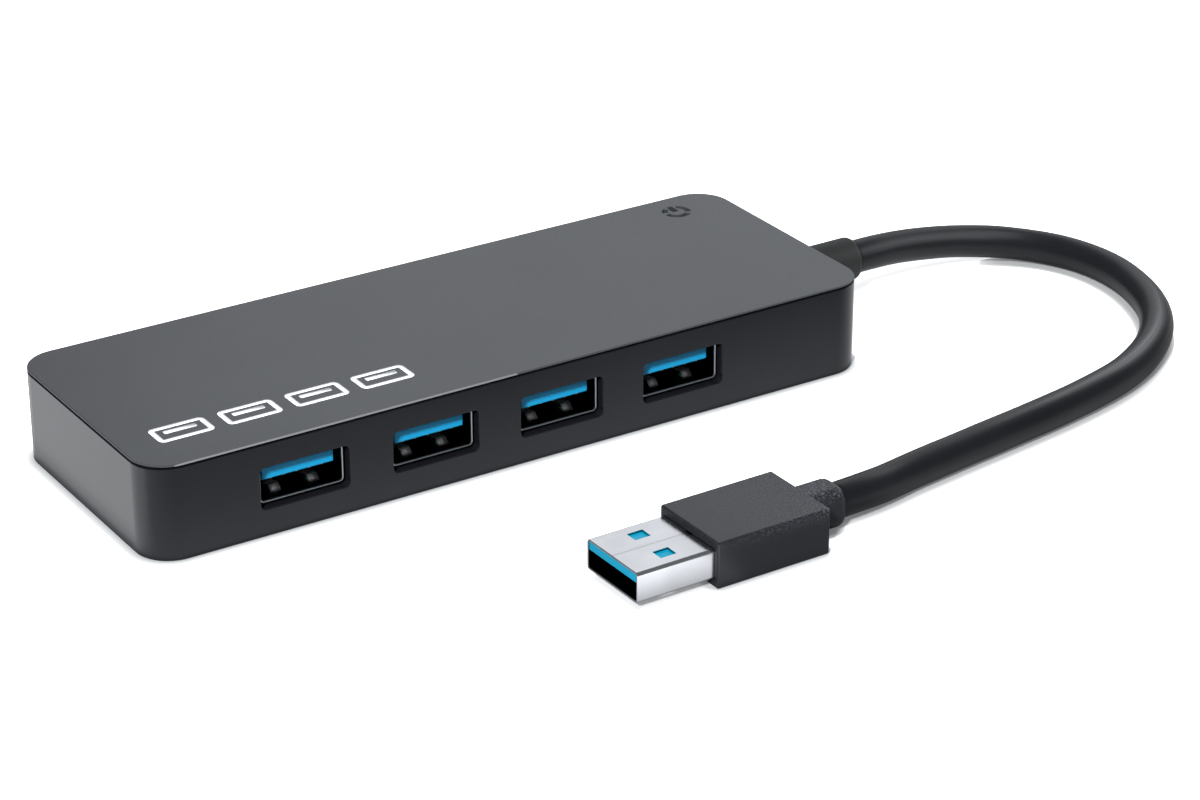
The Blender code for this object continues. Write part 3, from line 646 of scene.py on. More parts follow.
@dataclass(frozen=True)
class BoardMask:
    """Solder mask over copper: greener over the laminate, lighter over a grid of broad tracks."""

    name: str
    mask: Triple = (0.002, 0.030, 0.014)
    track: Triple = (0.005, 0.055, 0.025)

    def build(self) -> Material:
        """Make the material."""
        bench = NodeBench(self.name)
        cells = bench.add("TexVoronoi", {"Vector": bench.place((1.0, 1.6, 1.0)), "Scale": 450.0},
                          distance="CHEBYCHEV")
        tracks = bench.ramp(cells.outputs["Distance"], 0.28, 0.32)
        bench.tint(tracks, self.mask, self.track)
        bench.gloss(bench.noise(bench.place(), 900.0), 0.37, 0.05)
        bench.relief(tracks, 0.02 * MM)
        return bench.material


@dataclass(frozen=True)
class SmokedPipe:
    """Dark smoked plastic of the power light's insert, with faint flow lines."""

    name: str
    color: Triple = (0.006, 0.006, 0.007)

    def build(self) -> Material:
        """Make the material."""
        bench = NodeBench(self.name)
        flow = bench.noise(bench.place((1.0, 1.0, 4.0)), 700.0)
        bench.tint(bench.spread(flow), self.color, scaled(self.color, 1.6))
        bench.gloss(flow, 0.5, 0.05)
        bench.shade({"Specular IOR Level": 0.12})
        return bench.material


class Finishes:
    """Every finish of the hub, made once and shared by its pieces."""

    def __init__(self) -> None:
        """Build the materials."""
        # Painted highlight: a paler strip along the left half of the cover's front top edge.
        cover_edge = Region((-29.0 * MM, -21.3 * MM, 14.3 * MM), (27.0 * MM, 0.18 * MM, 0.11 * MM))
        # Painted shade: the inside of the plug's shell is coloured near black.
        plug_hollow = Region((-2.1 * MM, -60.1 * MM, 3.46 * MM), (9.2 * MM, 5.85 * MM, 2.1 * MM),
                             math.radians(0.75))
        self.case = MouldedPlastic("case_black", (0.006, 0.006, 0.0075), 0.2, 3200.0, 0.004 * MM,
                                   specular=0.42).build()
        self.cover = MouldedPlastic("cover_charcoal", (0.034, 0.035, 0.038), 0.36, 3600.0, 0.004 * MM,
                                    0.04, 0.48, painted_edge_highlight=cover_edge).build()
        # Painted highlight: the grip's grain specks are lightened near its top.
        self.grip = MouldedPlastic("grip_black", (0.011, 0.011, 0.013), 0.34, 3900.0, 0.09 * MM,
                                   specular=0.42, grain_run=(4.0 * MM, 22.0 * MM), speck_highlight=5.0).build()
        self.relief = MouldedPlastic("relief_black", (0.012, 0.013, 0.012), 0.55, 2600.0, 0.02 * MM,
                                     specular=0.42).build()
        self.jacket = CableJacket("jacket_black", (0.0055, 0.0055, 0.0065), 0.40).build()
        self.port_steel = PlatedSteel("port_plating", PORT_PLATING, 0.3, ALONG_Y).build()
        self.plug_steel = PlatedSteel("plug_plating", (0.74, 0.74, 0.76), 0.22, hollow=plug_hollow).build()
        self.spring_steel = PlatedSteel("spring_steel", (0.80, 0.77, 0.78), 0.55, ALONG_Y).build()
        self.blue = MouldedPlastic("blue_moulding", (0.002, 0.215, 0.40), 0.4, 2500.0, 0.006 * MM,
                                   0.06, 0.3).build()
        # Painted shade: the plug's blue is the ports' blue plastic made darker.
        self.plug_blue_shaded = MouldedPlastic("plug_blue_moulding", (0.002, 0.20, 0.31), 0.4, 2500.0, 0.006 * MM,
                                        0.06, 0.3).build()
        self.gold = PlatedSteel("gold_plating", (0.90, 0.66, 0.28), 0.22, (3000.0, 60.0, 3000.0)).build()
        self.ink = MouldedPlastic("white_ink", (0.84, 0.84, 0.85), 0.5, 5000.0, 0.004 * MM, 0.02).build()
        self.smoked = SmokedPipe("smoked_insert").build()
        self.board = BoardMask("board_mask").build()
        self.epoxy = MouldedPlastic("chip_epoxy", (0.014, 0.014, 0.015), 0.55, 3000.0, 0.01 * MM).build()


def place_piece(obj: Object, material: Material, slot: str, *replaced: str) -> Object:
    """Dress a finished piece, let it ride on the hub, and hide the CAD nodes that it stands for.

    Args:
        obj: The piece.
        material: Its finish.
        slot: The record's material slot; not used.
        replaced: CAD nodes that it stands for.

    Returns:
        The same piece.
    """
    obj.data.materials.clear()
    obj.data.materials.append(material)
    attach(obj, ROOT)
    if replaced:
        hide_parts(*replaced)
    LOG.info("%s: %d faces", obj.name, len(obj.data.polygons))
    return obj


# ---- The case ------------------------------------------------------------------------------------
@dataclass
class Case:
    """The tray and its cover, with the printed mark on top."""

    finishes: Finishes
    corner: float = 5.4 * MM
    wall: float = 1.6 * MM
    floor: float = 1.4 * MM
    base_edge: float = 0.35 * MM
    top_edge: float = 0.2 * MM
    seam: float = 0.38 * MM
    fit: float = 0.3 * MM
    cover_thickness: float = 1.5 * MM
    skirt: float = 1.1 * MM
    opening: Pair = (13.8 * MM, 6.3 * MM)
    opening_shift: Pair = (0.1 * MM, -0.2 * MM)
    opening_corner: float = 0.8 * MM
    opening_middle: float = 2.85 * MM
    hole: float = 3.2 * MM
    edge: float = 0.12 * MM
    cover_edge: float = 0.06 * MM

    def outline(self, inset: float) -> Array:
        """The case's rounded outline in X and Y, drawn in by an inset."""
        low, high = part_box("bottom_housing")
        size = high - low
        return rounded_loop(size.x - 2 * inset, size.y - 2 * inset, self.corner - inset, 14, 2)

    def profile_solid(self, name: str, profile: Sequence[Pair]) -> Object:
        """Carry the outline up through (inset, height) pairs, from the first cap to the last."""
        sections = [self.outline(inset) for inset, _ in profile]
        return surface(name, strung(sections, [height for _, height in profile], Axis.Z))

    def tray(self) -> Object:
        """The tray: a quarter-round base edge, upright walls, a rim, and the hollow inside."""
        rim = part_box("bottom_housing")[1].z
        profile = [tuple(pair) for pair in quarter_round(self.base_edge, 6)]
        profile += [(0.0, rim), (self.wall, rim), (self.wall, self.floor)]
        tray = self.profile_solid("case_tray", profile)
        tools = []
        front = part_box("bottom_housing")[0].y
        for port in PORTS:
            low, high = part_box(f"port_shell_{port}")
            middle_x = (low.x + high.x) / 2 + self.opening_shift[0]
            middle_z = high.z - self.opening_middle + self.opening_shift[1]
            half_x, half_z = self.opening[0] / 2, self.opening[1] / 2
            tools.append(block(f"opening_{port}", (middle_x - half_x, front - MM, middle_z - half_z),
                               (middle_x + half_x, front + 2 * self.wall, middle_z + half_z), Axis.Y,
                               self.opening_corner, steps=6))
        relief_low, relief_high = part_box("hub_strain_relief")
        axis_z = (relief_low.z + relief_high.z) / 2
        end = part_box("bottom_housing")[1].x
        tools.append(surface("hole", strung([circle_loop(self.hole) + (0.0, axis_z)] * 2,
                                            [end - 2 * self.wall, end + MM], Axis.X)))
        carve(tray, tools)
        soften(tray, self.edge)
        return place_piece(tray, self.finishes.case, "housing_plastic", "bottom_housing")

    def cover(self) -> Object:
        """The cover: a skirt inside the tray, a thin lip over the seam, and a rounded top edge."""
        low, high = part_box("top_cover")
        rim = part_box("bottom_housing")[1].z
        lip = rim + self.seam
        outer, inner = self.wall + self.fit, self.wall + self.fit + self.skirt
        ceiling = high.z - self.cover_thickness
        profile = [(inner, ceiling), (inner, low.z), (outer, low.z), (outer, lip), (0.0, lip)]
        rounding = quarter_round(self.top_edge, 6)
        profile += [(inset, high.z - rise) for inset, rise in rounding[::-1]]
        cover = self.profile_solid("case_cover", profile)
        carve(cover, PowerMark().slots(high.z))
        soften(cover, self.cover_edge, 2)
        return place_piece(cover, self.finishes.cover, "cover_plastic", "top_cover")

    def build(self) -> None:
        """Make the tray, the cover and the printed signs."""
        self.tray()
        self.cover()
        PortSigns().build(self.finishes.ink)


@dataclass(frozen=True)
class PortSigns:
    """A generic print: one small outlined port for each port, in a row near the front corner."""

    start: Pair = (-49.6 * MM, -12.0 * MM)
    pitch: float = 10.4 * MM
    size: Pair = (8.4 * MM, 4.6 * MM)
    line: float = 0.8 * MM
    corner: float = 0.9 * MM
    tongue: Pair = (4.9 * MM, 0.95 * MM)
    tongue_corner: float = 0.25 * MM
    tongue_rise: float = 0.45 * MM
    ink: float = 0.02 * MM

    def build(self, finish: Material) -> Object:
        """Print the row as one piece, half sunk into the cover's top."""
        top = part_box("top_cover")[1].z
        levels = (top - self.ink, top + self.ink)
        width, height = self.size
        signs = []
        for index in range(len(PORTS)):
            centre = np.array((self.start[0] + index * self.pitch, self.start[1]))
            outer = rounded_loop(width, height, self.corner, 6) + centre
            inner = rounded_loop(width - 2 * self.line, height - 2 * self.line,
                                 self.corner - self.line, 6) + centre
            ring = strung([outer, outer, inner, inner], [levels[0], levels[1], levels[1], levels[0]], Axis.Z)
            signs.append(surface(f"sign_{index}", ring, ring=True))
            bar = rounded_loop(*self.tongue, self.tongue_corner, 4) + centre + (0.0, self.tongue_rise)
            signs.append(surface(f"bar_{index}", strung([bar, bar], levels, Axis.Z)))
        return place_piece(merged("printed_port_signs", signs), finish, "cover_plastic")


@dataclass
class PowerMark:
    """The stencilled power sign: a ring in three runs, and a bar that points to the back."""

    radius: float = 1.8 * MM
    line: float = 0.95 * MM
    runs: tuple[Pair, ...] = ((-28.0, 60.0), (-172.0, -48.0), (120.0, 166.0))
    bar: Pair = (0.1 * MM, 2.2 * MM)
    depth: float = 3.0 * MM

    def slots(self, top: float) -> list[Object]:
        """Cutters for the ring's runs and the bar: flat outlines carried down through the cover."""
        low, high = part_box("power_light_pipe")
        centre = np.array(((low.x + high.x) / 2, (low.y + high.y) / 2))
        cutters = []
        for number, (start, stop) in enumerate(self.runs):
            turn = np.radians(np.linspace(start, stop, 20))
            spoke = np.stack([np.cos(turn), np.sin(turn)], axis=1)
            outline = np.concatenate([spoke * (self.radius + self.line / 2),
                                      spoke[::-1] * (self.radius - self.line / 2)])
            cutters.append(self.punch(f"run_{number}", outline + centre, top))
        half = self.line / 2
        bar = np.array(((-half, self.bar[0]), (half, self.bar[0]), (half, self.bar[1]), (-half, self.bar[1])))
        cutters.append(self.punch("bar", bar + centre, top))
        return cutters

    def punch(self, name: str, outline: Array, top: float) -> Object:
        """One cutter through the cover."""
        return surface(name, strung([outline, outline], [top - self.depth, top + self.depth], Axis.Z))


# ---- A port --------------------------------------------------------------------------------------
@dataclass
class Port:
    """One type A port: the folded shell with its springs, the blue tongue, and the fine contacts."""

    number: int
    finishes: Finishes
    sheet: float = 0.3 * MM
    shell_corner: float = 0.7 * MM
    shell_height: float = 5.7 * MM
    spring_x: float = 2.95 * MM
    spring_width: float = 1.55 * MM
    slot: Pair = (1.75 * MM, 6.0 * MM)
    slot_start: float = 1.7 * MM
    slot_corner: float = 0.2 * MM
    side_slot: float = 2.0 * MM
    spring_sheet: float = 0.2 * MM
    spring_tip: float = 2.1 * MM
    spring_crest: float = 3.0 * MM
    spring_rises: Pair = (0.75 * MM, 0.35 * MM)
    tongue: Pair = (11.1 * MM, 1.84 * MM)
    tongue_edge: float = 0.22 * MM
    tongue_drop: float = 2.77 * MM
    fine_pitch: float = 2.0 * MM
    fine_size: Pair = (0.5 * MM, 0.12 * MM)

    def __post_init__(self) -> None:
        """Read the port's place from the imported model."""
        low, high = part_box(f"port_shell_{self.number}")
        self.middle_x = (low.x + high.x) / 2
        self.half_x = (high.x - low.x) / 2
        self.top_z = high.z
        self.low_z = high.z - self.shell_height
        self.middle_z = (self.top_z + self.low_z) / 2
        self.mouth = low.y
        self.back = high.y

    def section(self, inset: float) -> Array:
        """The shell's section in (z, x), drawn in by an inset."""
        loop = rounded_loop(self.shell_height - 2 * inset, 2 * (self.half_x - inset),
                            self.shell_corner - inset, 6)
        return loop + (self.middle_z, self.middle_x)

    def shell(self) -> Object:
        """The square tube, with a rounded lip, spring slots above and below, and one in each side."""
        shell = folded_tube(f"port_{self.number}_shell", self.section, self.mouth, self.back, self.sheet,
                            Axis.Y, 3)
        tools = []
        start, stop = self.mouth + self.slot_start, self.mouth + self.slot_start + self.slot[1]
        for side in Side:
            x = self.middle_x + side.value * self.spring_x
            half = self.slot[0] / 2
            tools.append(block("slot", (x - half, start, self.low_z - MM), (x + half, stop, self.top_z + MM),
                               Axis.Z, self.slot_corner))
        half_z = self.side_slot / 2
        tools.append(block("side_slot", (self.middle_x - 2 * self.half_x, start + MM, self.middle_z - half_z),
                           (self.middle_x + 2 * self.half_x, stop, self.middle_z + half_z), Axis.X,
                           self.slot_corner))
        carve(shell, tools)
        crisp(shell)
        # Painted shade: the shell's inside, past its lip, is coloured near black.
        hollow = Region((self.middle_x, (self.mouth + self.back) / 2, self.middle_z),
                        (self.half_x - self.sheet / 2, (self.back - self.mouth) / 2 - 0.35 * MM,
                         self.shell_height / 2 - self.sheet / 2))
        finish = PlatedSteel(f"port_{self.number}_plating", PORT_PLATING, 0.3, ALONG_Y, hollow).build()
        return place_piece(shell, finish, "bare_steel", f"port_shell_{self.number}")

    def springs(self) -> Object:
        """Leaf springs: each rises from its slot's far end to a crest, then folds down at the front."""
        strips = []
        tip, crest = self.mouth + self.spring_tip, self.mouth + self.spring_crest
        root = self.mouth + self.slot_start + self.slot[1] + 0.1 * MM
        for side in Side:
            x = self.middle_x + side.value * self.spring_x
            for up, rise in zip((1.0, -1.0), self.spring_rises):
                level = self.middle_z - up * (self.shell_height - self.sheet) / 2
                climb = up * rise
                knots = np.array(((root, level), (root - 0.4 * MM, level),
                                  (crest + 0.25 * MM, level + climb * 0.97), (crest, level + climb),
                                  (crest - 0.12 * MM, level + climb * 0.93), (tip, level - up * 0.1 * MM)))
                line = np.column_stack([np.full(len(knots), x), knots])
                leaf = strip_along(line, self.spring_width, self.spring_sheet, (1, 0, 0))
                strips.append(surface("leaf", leaf))
        springs = merged(f"port_{self.number}_springs", strips)
        return place_piece(springs, self.finishes.spring_steel, "bare_steel")

    def insulator(self) -> Object:
        """The tongue with a rounded tip, joined to the rear block."""
        low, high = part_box(f"port_insulator_{self.number}")
        tongue_low = self.top_z - self.tongue_drop
        half = self.tongue[0] / 2
        tongue = block(f"port_{self.number}_tongue", (self.middle_x - half, low.y, tongue_low),
                       (self.middle_x + half, high.y - MM, tongue_low + self.tongue[1]), Axis.Y,
                       self.tongue_edge, self.tongue_edge, 3)
        rear = block("rear", (low.x, high.y - 5 * MM, tongue_low), (high.x, high.y, high.z), Axis.Y, 0.3 * MM)
        carve(tongue, [rear], "UNION")
        crisp(tongue)
        return place_piece(tongue, self.finishes.blue, "blue_plastic", f"port_insulator_{self.number}")

    def fine_contacts(self) -> Object:
        """The five fine contacts near the tongue's tip, between and outside the four long ones."""
        node_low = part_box(f"port_contact_{self.number}_1")[0]
        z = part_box(f"port_insulator_{self.number}")[0].z + 2.42 * MM
        start = node_low.y - 0.55 * MM
        strips = []
        for place in np.linspace(-2.0, 2.0, 5) * self.fine_pitch:
            x = self.middle_x + place
            knots = np.array(((x, start, z), (x, start + 0.3 * MM, z - 0.02 * MM), (x, start + 0.65 * MM, z)))
            strips.append(surface("pad", strip_along(knots, *self.fine_size, (1, 0, 0))))
        pads = merged(f"port_{self.number}_fine_contacts", strips)
        return place_piece(pads, self.finishes.gold, "gold_contact")

    def build(self) -> None:
        """Make the port's pieces."""
        self.shell()
        self.springs()
        self.insulator()
        self.fine_contacts()


# ---- The cable and its relief --------------------------------------------------------------------
@dataclass
class Cable:
    """The free cable and the moulded sleeve that it leaves the case through."""

    finishes: Finishes
    radius: float = 2.6 * MM
    sleeve_radius: float = 3.4 * MM
    nose: float = 1.0 * MM
    bore_depth: float = 4.0 * MM
    neck_radius: float = 2.9 * MM
    flange_radius: float = 4.4 * MM
    hidden_end: float = 3.0 * MM
    rings: int = 260

    def sleeve(self) -> Object:
        """The sleeve: a flange, a neck through the wall, a long round body and a blunt rounded nose."""
        low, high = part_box("hub_strain_relief")
        end = high.x
        case_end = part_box("bottom_housing")[1].x
        face = case_end + 0.05 * MM
        inside = case_end - 1.9 * MM
        bore = self.radius + 0.03 * MM
        turn = quarter_round(self.nose, 8)
        lip = quarter_round(0.2 * MM, 4)
        profile = [(low.x, 0.0), (low.x, self.flange_radius), (inside, self.flange_radius),
                   (inside, self.neck_radius), (face, self.neck_radius), (face, self.sleeve_radius)]
        profile += [(end - rise, self.sleeve_radius - inset) for inset, rise in turn[::-1]]
        profile += [(end - rise, bore + inset) for inset, rise in lip]
        profile += [(end - self.bore_depth, bore), (end - self.bore_depth, 0.0)]
        sleeve = revolved("cable_sleeve", np.array(profile), (0.0, 0.0, (low.z + high.z) / 2), 72)
        crisp(sleeve)
        return place_piece(sleeve, self.finishes.relief, "cable_rubber", "hub_strain_relief")

    def free_cable(self) -> Object:
        """The jacket along its route, a little way into the sleeve and the plug's stub at its ends."""
        path = smooth_route(CABLE_ROUTE, self.rings)
        ends = [outer + (outer - inner) / np.linalg.norm(outer - inner) * self.hidden_end
                for outer, inner in (path[:2], path[:-3:-1])]
        path = np.concatenate([ends[:1], path, ends[1:]])
        wobble = 1.0 + 0.004 * np.sin(np.arange(len(path)) * 0.31)
        tube = swept_tube("free_cable", path, self.radius * wobble)
        place_piece(tube, self.finishes.jacket, "cable_rubber", "cable")
        self.path = path
        return tube


# ---- The plug ------------------------------------------------------------------------------------
@dataclass
class Plug:
    """The type A plug, built in its own frame with x from the mouth towards the cable."""

    finishes: Finishes
    tip: Pair = (-11.42 * MM, -60.23 * MM)
    turn: float = math.radians(0.75)
    middle_z: float = 3.46 * MM
    shell_size: Triple = (18.7 * MM, 12.0 * MM, 4.5 * MM)
    shell_corner: float = 0.5 * MM
    sheet: float = 0.3 * MM
    bare: float = 12.3 * MM
    window: Pair = (2.5 * MM, 2.1 * MM)
    window_x: float = 6.3 * MM
    window_y: float = 3.0 * MM
    grip_size: Triple = (18.5 * MM, 13.6 * MM, 6.92 * MM)
    grip_edge: float = 0.35 * MM
    stub_side: float = 6.2 * MM
    stub_length: float = 6.0 * MM
    stub_corner: float = 2.1 * MM
    stub_rim: float = 1.3 * MM
    pocket_gap: float = 0.06 * MM
    bore_radius: float = 2.63 * MM
    core: float = 1.85 * MM
    core_tip: float = 1.2 * MM

    def seat(self, obj: Object) -> Object:
        """Turn and move a piece from the plug's own frame to its place on the floor, in its mesh."""
        points = np.empty(len(obj.data.vertices) * 3)
        obj.data.vertices.foreach_get("co", points)
        points = points.reshape(-1, 3)
        c, s = math.cos(self.turn), math.sin(self.turn)
        turned = points @ np.array(((c, s, 0.0), (-s, c, 0.0), (0.0, 0.0, 1.0)))
        placed = turned + (self.tip[0], self.tip[1], 0.0)
        obj.data.vertices.foreach_set("co", placed.ravel())
        obj.data.update()
        return obj

    def section(self, inset: float) -> Array:
        """The shell's section in (y, z), drawn in by an inset."""
        _, width, height = self.shell_size
        loop = rounded_loop(width - 2 * inset, height - 2 * inset, self.shell_corner - inset, 6)
        return loop + (0.0, self.middle_z)

    def shell(self) -> Object:
        """The folded shell: a rounded tube with a soft lip at its mouth and windows on both faces."""
        length, _, height = self.shell_size
        shell = folded_tube("plug_metal_shell", self.section, 0.0, length, self.sheet, Axis.X, 4)
        tools = []
        for side in Side:
            y = side.value * self.window_y
            tools.append(block("window", (self.window_x - self.window[0] / 2, y - self.window[1] / 2, -MM),
                               (self.window_x + self.window[0] / 2, y + self.window[1] / 2, 9 * MM), Axis.Z,
                               0.12 * MM, steps=3))
        top = self.middle_z + height / 2
        tools.append(block("fold", (-MM, -0.035 * MM, top - 0.08 * MM),
                           (self.bare + MM, 0.035 * MM, top + MM)))
        tools.append(block("notch", (self.bare - 0.75 * MM, -0.9 * MM, top - 0.12 * MM),
                           (self.bare + MM, 0.5 * MM, top + MM)))
        carve(shell, tools)
        soften(shell, 0.03 * MM, 2)
        self.seat(shell)
        return place_piece(shell, self.finishes.plug_steel, "bare_steel", "plug_shell")

    def insulator(self) -> Object:
        """The blue core under the shell's upper face, and its full-height rear."""
        length, width, height = self.shell_size
        top = self.middle_z + height / 2 - self.sheet - 0.05 * MM
        half = (width - 2 * self.sheet - 0.1 * MM) / 2
        depths = (self.core_tip, self.core_tip, self.core, self.core)
        levels = (0.2 * MM, 0.3 * MM, 1.3 * MM, length - 0.1 * MM)
        sections = [rounded_loop(2 * half, depth, 0.1 * MM, 3) + (0.0, top - depth / 2) for depth in depths]
        core = surface("plug_blue_core", strung(sections, levels, Axis.X))
        floor = self.middle_z - height / 2 + self.sheet + 0.1 * MM
        rear = block("rear", (length - 5 * MM, -half, floor), (length - 0.2 * MM, half, top - 0.1 * MM),
                     Axis.X, 0.15 * MM)
        carve(core, [rear], "UNION")
        crisp(core)
        self.seat(core)
        return place_piece(core, self.finishes.plug_blue_shaded, "blue_plastic", "plug_insulator")

    def grip(self) -> Object:
        """The moulded grip: a crisp box, a square stub for the cable, and the pocket for the shell."""
        length, width, height = self.grip_size
        start, end = self.bare, self.bare + length
        grip = block("plug_grip", (start, -width / 2, 0.0), (end, width / 2, height), Axis.X, self.grip_edge,
                     self.grip_edge, 5)
        carve(grip, [self.stub(end)], "UNION")
        half_y, half_z = self.shell_size[1] / 2 + self.pocket_gap, self.shell_size[2] / 2 + self.pocket_gap
        pocket = block("pocket", (start - MM, -half_y, self.middle_z - half_z),
                       (self.shell_size[0] + 0.3 * MM, half_y, self.middle_z + half_z), Axis.X,
                       self.shell_corner, steps=4)
        tail = end + self.stub_length
        bore = surface("bore", strung([circle_loop(self.bore_radius) + (0.0, self.middle_z)] * 2,
                                      [tail - 4 * MM, tail + MM], Axis.X))
        carve(grip, [pocket, bore])
        soften(grip, 0.1 * MM, 3, 50.0)
        self.seat(grip)
        return place_piece(grip, self.finishes.grip, "grip_plastic", "plug_overmould")

    def stub(self, start: float) -> Object:
        """The square stub with rounded corners and a softly rounded end."""
        rim = quarter_round(self.stub_rim, 8)
        insets = [0.0, *rim[::-1, 0]]
        levels = [start - 2 * MM, *(start + self.stub_length - rim[::-1, 1])]
        sides = [self.stub_side - 2 * inset for inset in insets]
        sections = [rounded_loop(side, side, self.stub_corner - 0.6 * inset, 8) + (0.0, self.middle_z)
                    for side, inset in zip(sides, insets)]
        return surface("stub", strung(sections, levels, Axis.X))

    def build(self) -> list[Object]:
        """Make the plug's pieces.

        Returns:
            The pieces that lie on the end of the cable.
        """
        return [self.shell(), self.insulator(), self.grip()]


# ---- Inside the case -----------------------------------------------------------------------------
@dataclass
class Innards:
    """The CAD parts that stay as they are, each dressed in its own finish."""

    finishes: Finishes

    def wire_finish(self, name: str) -> Material:
        """Coloured insulation, from the record's colour for the wire."""
        colors = {row["slot"]: row["base_color"] for row in frame["record"]["materials"]}
        return MouldedPlastic(name + "_insulation", tuple(colors[name][:3]), 0.4, 3000.0, 0.005 * MM,
                              0.05).build()

    def dress(self) -> None:
        """Give every node that is still shown a procedural finish."""
        by_start = {
            "circuit_board": self.finishes.board, "hub_controller": self.finishes.epoxy,
            "voltage": self.finishes.epoxy, "port_fuse": self.finishes.epoxy,
            "crystal": self.finishes.port_steel, "port_capacitor": self.finishes.port_steel,
            "power_light": self.finishes.smoked, "power_led": self.finishes.ink,
            "port_contact": self.finishes.gold, "plug_contact": self.finishes.gold,
            "cable_inner": self.finishes.relief,
        }
        for name, node in frame["nodes"].items():
            if node.hide_render:
                continue
            if name.startswith("wire_"):
                material = self.wire_finish(name)
            else:
                material = next(value for start, value in by_start.items() if name.startswith(start))
            node.data.materials.clear()
            node.data.materials.append(material)
            LOG.info("%s keeps its CAD shape", name)


# ---- The studio ----------------------------------------------------------------------------------
@dataclass(frozen=True)
class Panel:
    """A soft light panel: where it stands, seen from the hub, and how bright its face is."""

    name: str
    azimuth: float
    elevation: float
    distance: float
    size: Pair
    radiance: float
    mirrored: bool = True
    aim: Triple = (0.0, 0.0, 0.0)
    color: Triple = (0.93, 0.965, 1.0)

    def build(self) -> None:
        """Stand the panel off its aim and face it; azimuth 0 is behind the hub, positive to the right."""
        turn, lift = math.radians(self.azimuth), math.radians(self.elevation)
        away = Vector((math.sin(turn) * math.cos(lift), math.cos(turn) * math.cos(lift), math.sin(lift)))
        data = bpy.data.lights.new(self.name, "AREA")
        data.shape = "RECTANGLE"
        data.size, data.size_y = self.size
        data.energy = self.radiance * math.pi * self.size[0] * self.size[1]
        data.color = self.color
        light = added(self.name, data)
        light.visible_camera = False
        light.visible_glossy = self.mirrored
        light.location = Vector(self.aim) + away * self.distance
        light.rotation_euler = away.to_track_quat("Z", "Y").to_euler()


@dataclass(frozen=True)
class Glow:
    """A patch of the table that lights the hub: its strength, and where it fades in along X and Y.

    A fade runs from where the patch has nothing to where it has all its strength.
    """

    strength: float
    fade_y: Pair
    fade_x: Pair | None = None

    def across(self, bench: NodeBench, x: Socket, y: Socket) -> Socket:
        """The patch's strength at each point of the table."""
        strength = bench.ramp(y, *self.fade_y, (0.0, self.strength))
        return bench.times(strength, bench.ramp(x, *self.fade_x)) if self.fade_x else strength


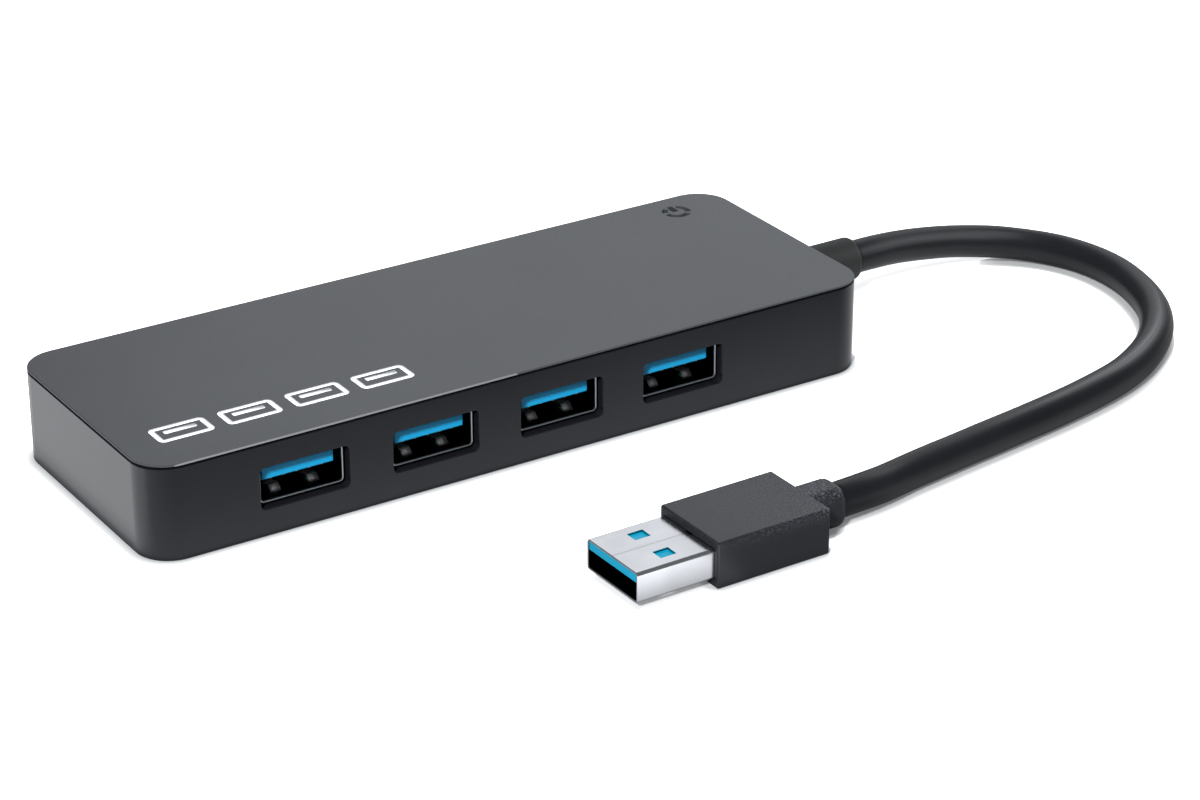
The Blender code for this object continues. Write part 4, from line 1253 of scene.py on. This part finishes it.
@dataclass
class Studio:
    """A pale light table, soft panels and the camera."""

    azimuth: float = math.radians(-32.712)
    elevation: float = math.radians(25.586)
    distance: float = 507.55 * MM
    target: Triple = (19.35 * MM, -9.47 * MM, 0.0)
    lens: float = 103.24
    surround: float = 0.17
    seen_glow: float = 0.72
    table_glow: float = 0.12
    glows: tuple[Glow, ...] = (
        Glow(0.50, (-48.0 * MM, -24.0 * MM)),
        Glow(0.76, (-22.0 * MM, -16.0 * MM), (-59.5 * MM, -62.5 * MM)),
        Glow(1.55, (-66.0 * MM, -78.0 * MM), (7.5 * MM, 5.5 * MM)),
        Glow(0.38, (-48.0 * MM, -56.0 * MM), (32.0 * MM, 45.0 * MM)),
    )
    contact_reach: float = 1.4 * MM
    floor_half: float = 3.0
    floor_sink: float = 0.05 * MM
    panels: tuple[Panel, ...] = (
        Panel("back_panel", 47.0, 27.0, 1.5, (1.35, 0.9), 0.90),
        Panel("high_panel", 125.0, 62.0, 1.0, (0.42, 0.42), 6.0, mirrored=False),
        Panel("left_panel", -44.0, 5.0, 1.3, (0.7, 0.3), 0.85),
        Panel("key_panel", -135.0, 35.5, 0.9, (0.10, 0.10), 570.0, mirrored=False),
        Panel("cable_card", 122.0, 38.0, 0.05, (0.045, 0.035), 2.6, aim=(0.086, 0.0, 0.006)),
    )

    def camera(self) -> None:
        """The camera looks at the target from its azimuth and elevation, upright."""
        data = bpy.data.cameras.new("camera")
        data.lens = self.lens
        data.sensor_width = 36.0
        data.clip_start = 0.01
        data.clip_end = 20.0
        camera = added("camera", data)
        level = math.cos(self.elevation)
        away = Vector((math.sin(self.azimuth) * level, -math.cos(self.azimuth) * level,
                       math.sin(self.elevation)))
        camera.location = Vector(self.target) + away * self.distance
        camera.rotation_euler = (-away).to_track_quat("-Z", "Y").to_euler()
        bpy.context.scene.camera = camera

    def floor(self) -> None:
        """A wide pale table top that glows for the hub, with a painted contact shadow where it nears a piece.
        """
        half, level = self.floor_half, -self.floor_sink
        mesh = bpy.data.meshes.new("floor")
        corners = [(-half, -half, level), (half, -half, level), (half, half, level), (-half, half, level)]
        mesh.from_pydata(corners, [], [(0, 1, 2, 3)])
        floor = added("floor", mesh)
        bench = NodeBench("table_acrylic")
        place = bench.place()
        x, y, _ = bench.split(place)
        # Painted shadow: the table's colour and glow darken near every piece by its ambient occlusion.
        contact = bench.add("AmbientOcclusion", {"Distance": self.contact_reach}, samples=16).outputs["AO"]
        open_sky = bench.total(bench.ramp(contact, 0.5, 0.9, (0.22, 0.42)),
                               bench.ramp(contact, 0.9, 1.0, (0.0, 0.58)))
        seen = bench.add("LightPath").outputs["Is Camera Ray"]
        unseen = bench.total(*(glow.across(bench, x, y) for glow in self.glows), self.table_glow)
        glow = bench.blend(unseen, self.seen_glow, seen)
        pale = bench.times(open_sky, bench.ramp(bench.noise(place, 40.0), 0.2, 0.8, (0.96, 1.0)))
        bench.tint(bench.times(seen, pale), (0.11, 0.115, 0.12), (0.97, 0.94, 0.905))
        bench.shade({"Emission Strength": bench.times(glow, open_sky),
                     "Emission Color": (0.965, 0.98, 1.0, 1.0),
                     "Roughness": 0.9, "Specular IOR Level": 0.1})
        self.open_from_below(bench)
        floor.data.materials.append(bench.material)

    def open_from_below(self, bench: NodeBench) -> None:
        """Let the table top be seen through from underneath, so that the hub's underside shows."""
        from_below = bench.add("NewGeometry").outputs["Backfacing"]
        clear = bench.add("BsdfTransparent").outputs["BSDF"]
        choice = bench.add("MixShader", {0: from_below, 1: bench.shader.outputs["BSDF"], 2: clear})
        output = next(node for node in bench.tree.nodes if node.bl_idname == "ShaderNodeOutputMaterial")
        bench.feed(output.inputs["Surface"], choice.outputs["Shader"])

    def surroundings(self) -> None:
        """An even dim surround."""
        world = bpy.data.worlds.new("surround")
        world.use_nodes = True
        background = world.node_tree.nodes["Background"]
        background.inputs["Color"].default_value = (0.92, 0.96, 1.0, 1.0)
        background.inputs["Strength"].default_value = self.surround
        bpy.context.scene.world = world

    def build(self) -> None:
        """Set up the studio."""
        bpy.context.scene.view_settings.view_transform = "Standard"
        self.camera()
        self.floor()
        self.surroundings()
        for panel in self.panels:
            panel.build()


def main() -> None:
    """Build the studio, the hub and its cable, in order."""
    logging.basicConfig(level=logging.INFO, format="%(message)s")
    Studio().build()
    finishes = Finishes()
    cable = Cable(finishes)
    tube = cable.free_cable()
    cable.sleeve()
    plug_pieces = Plug(finishes).build()
    Case(finishes).build()
    for number in PORTS:
        Port(number, finishes).build()
    Innards(finishes).dress()
    length = float(np.linalg.norm(np.diff(cable.path, axis=0), axis=1).sum())


if __name__ == "__main__":
    main()
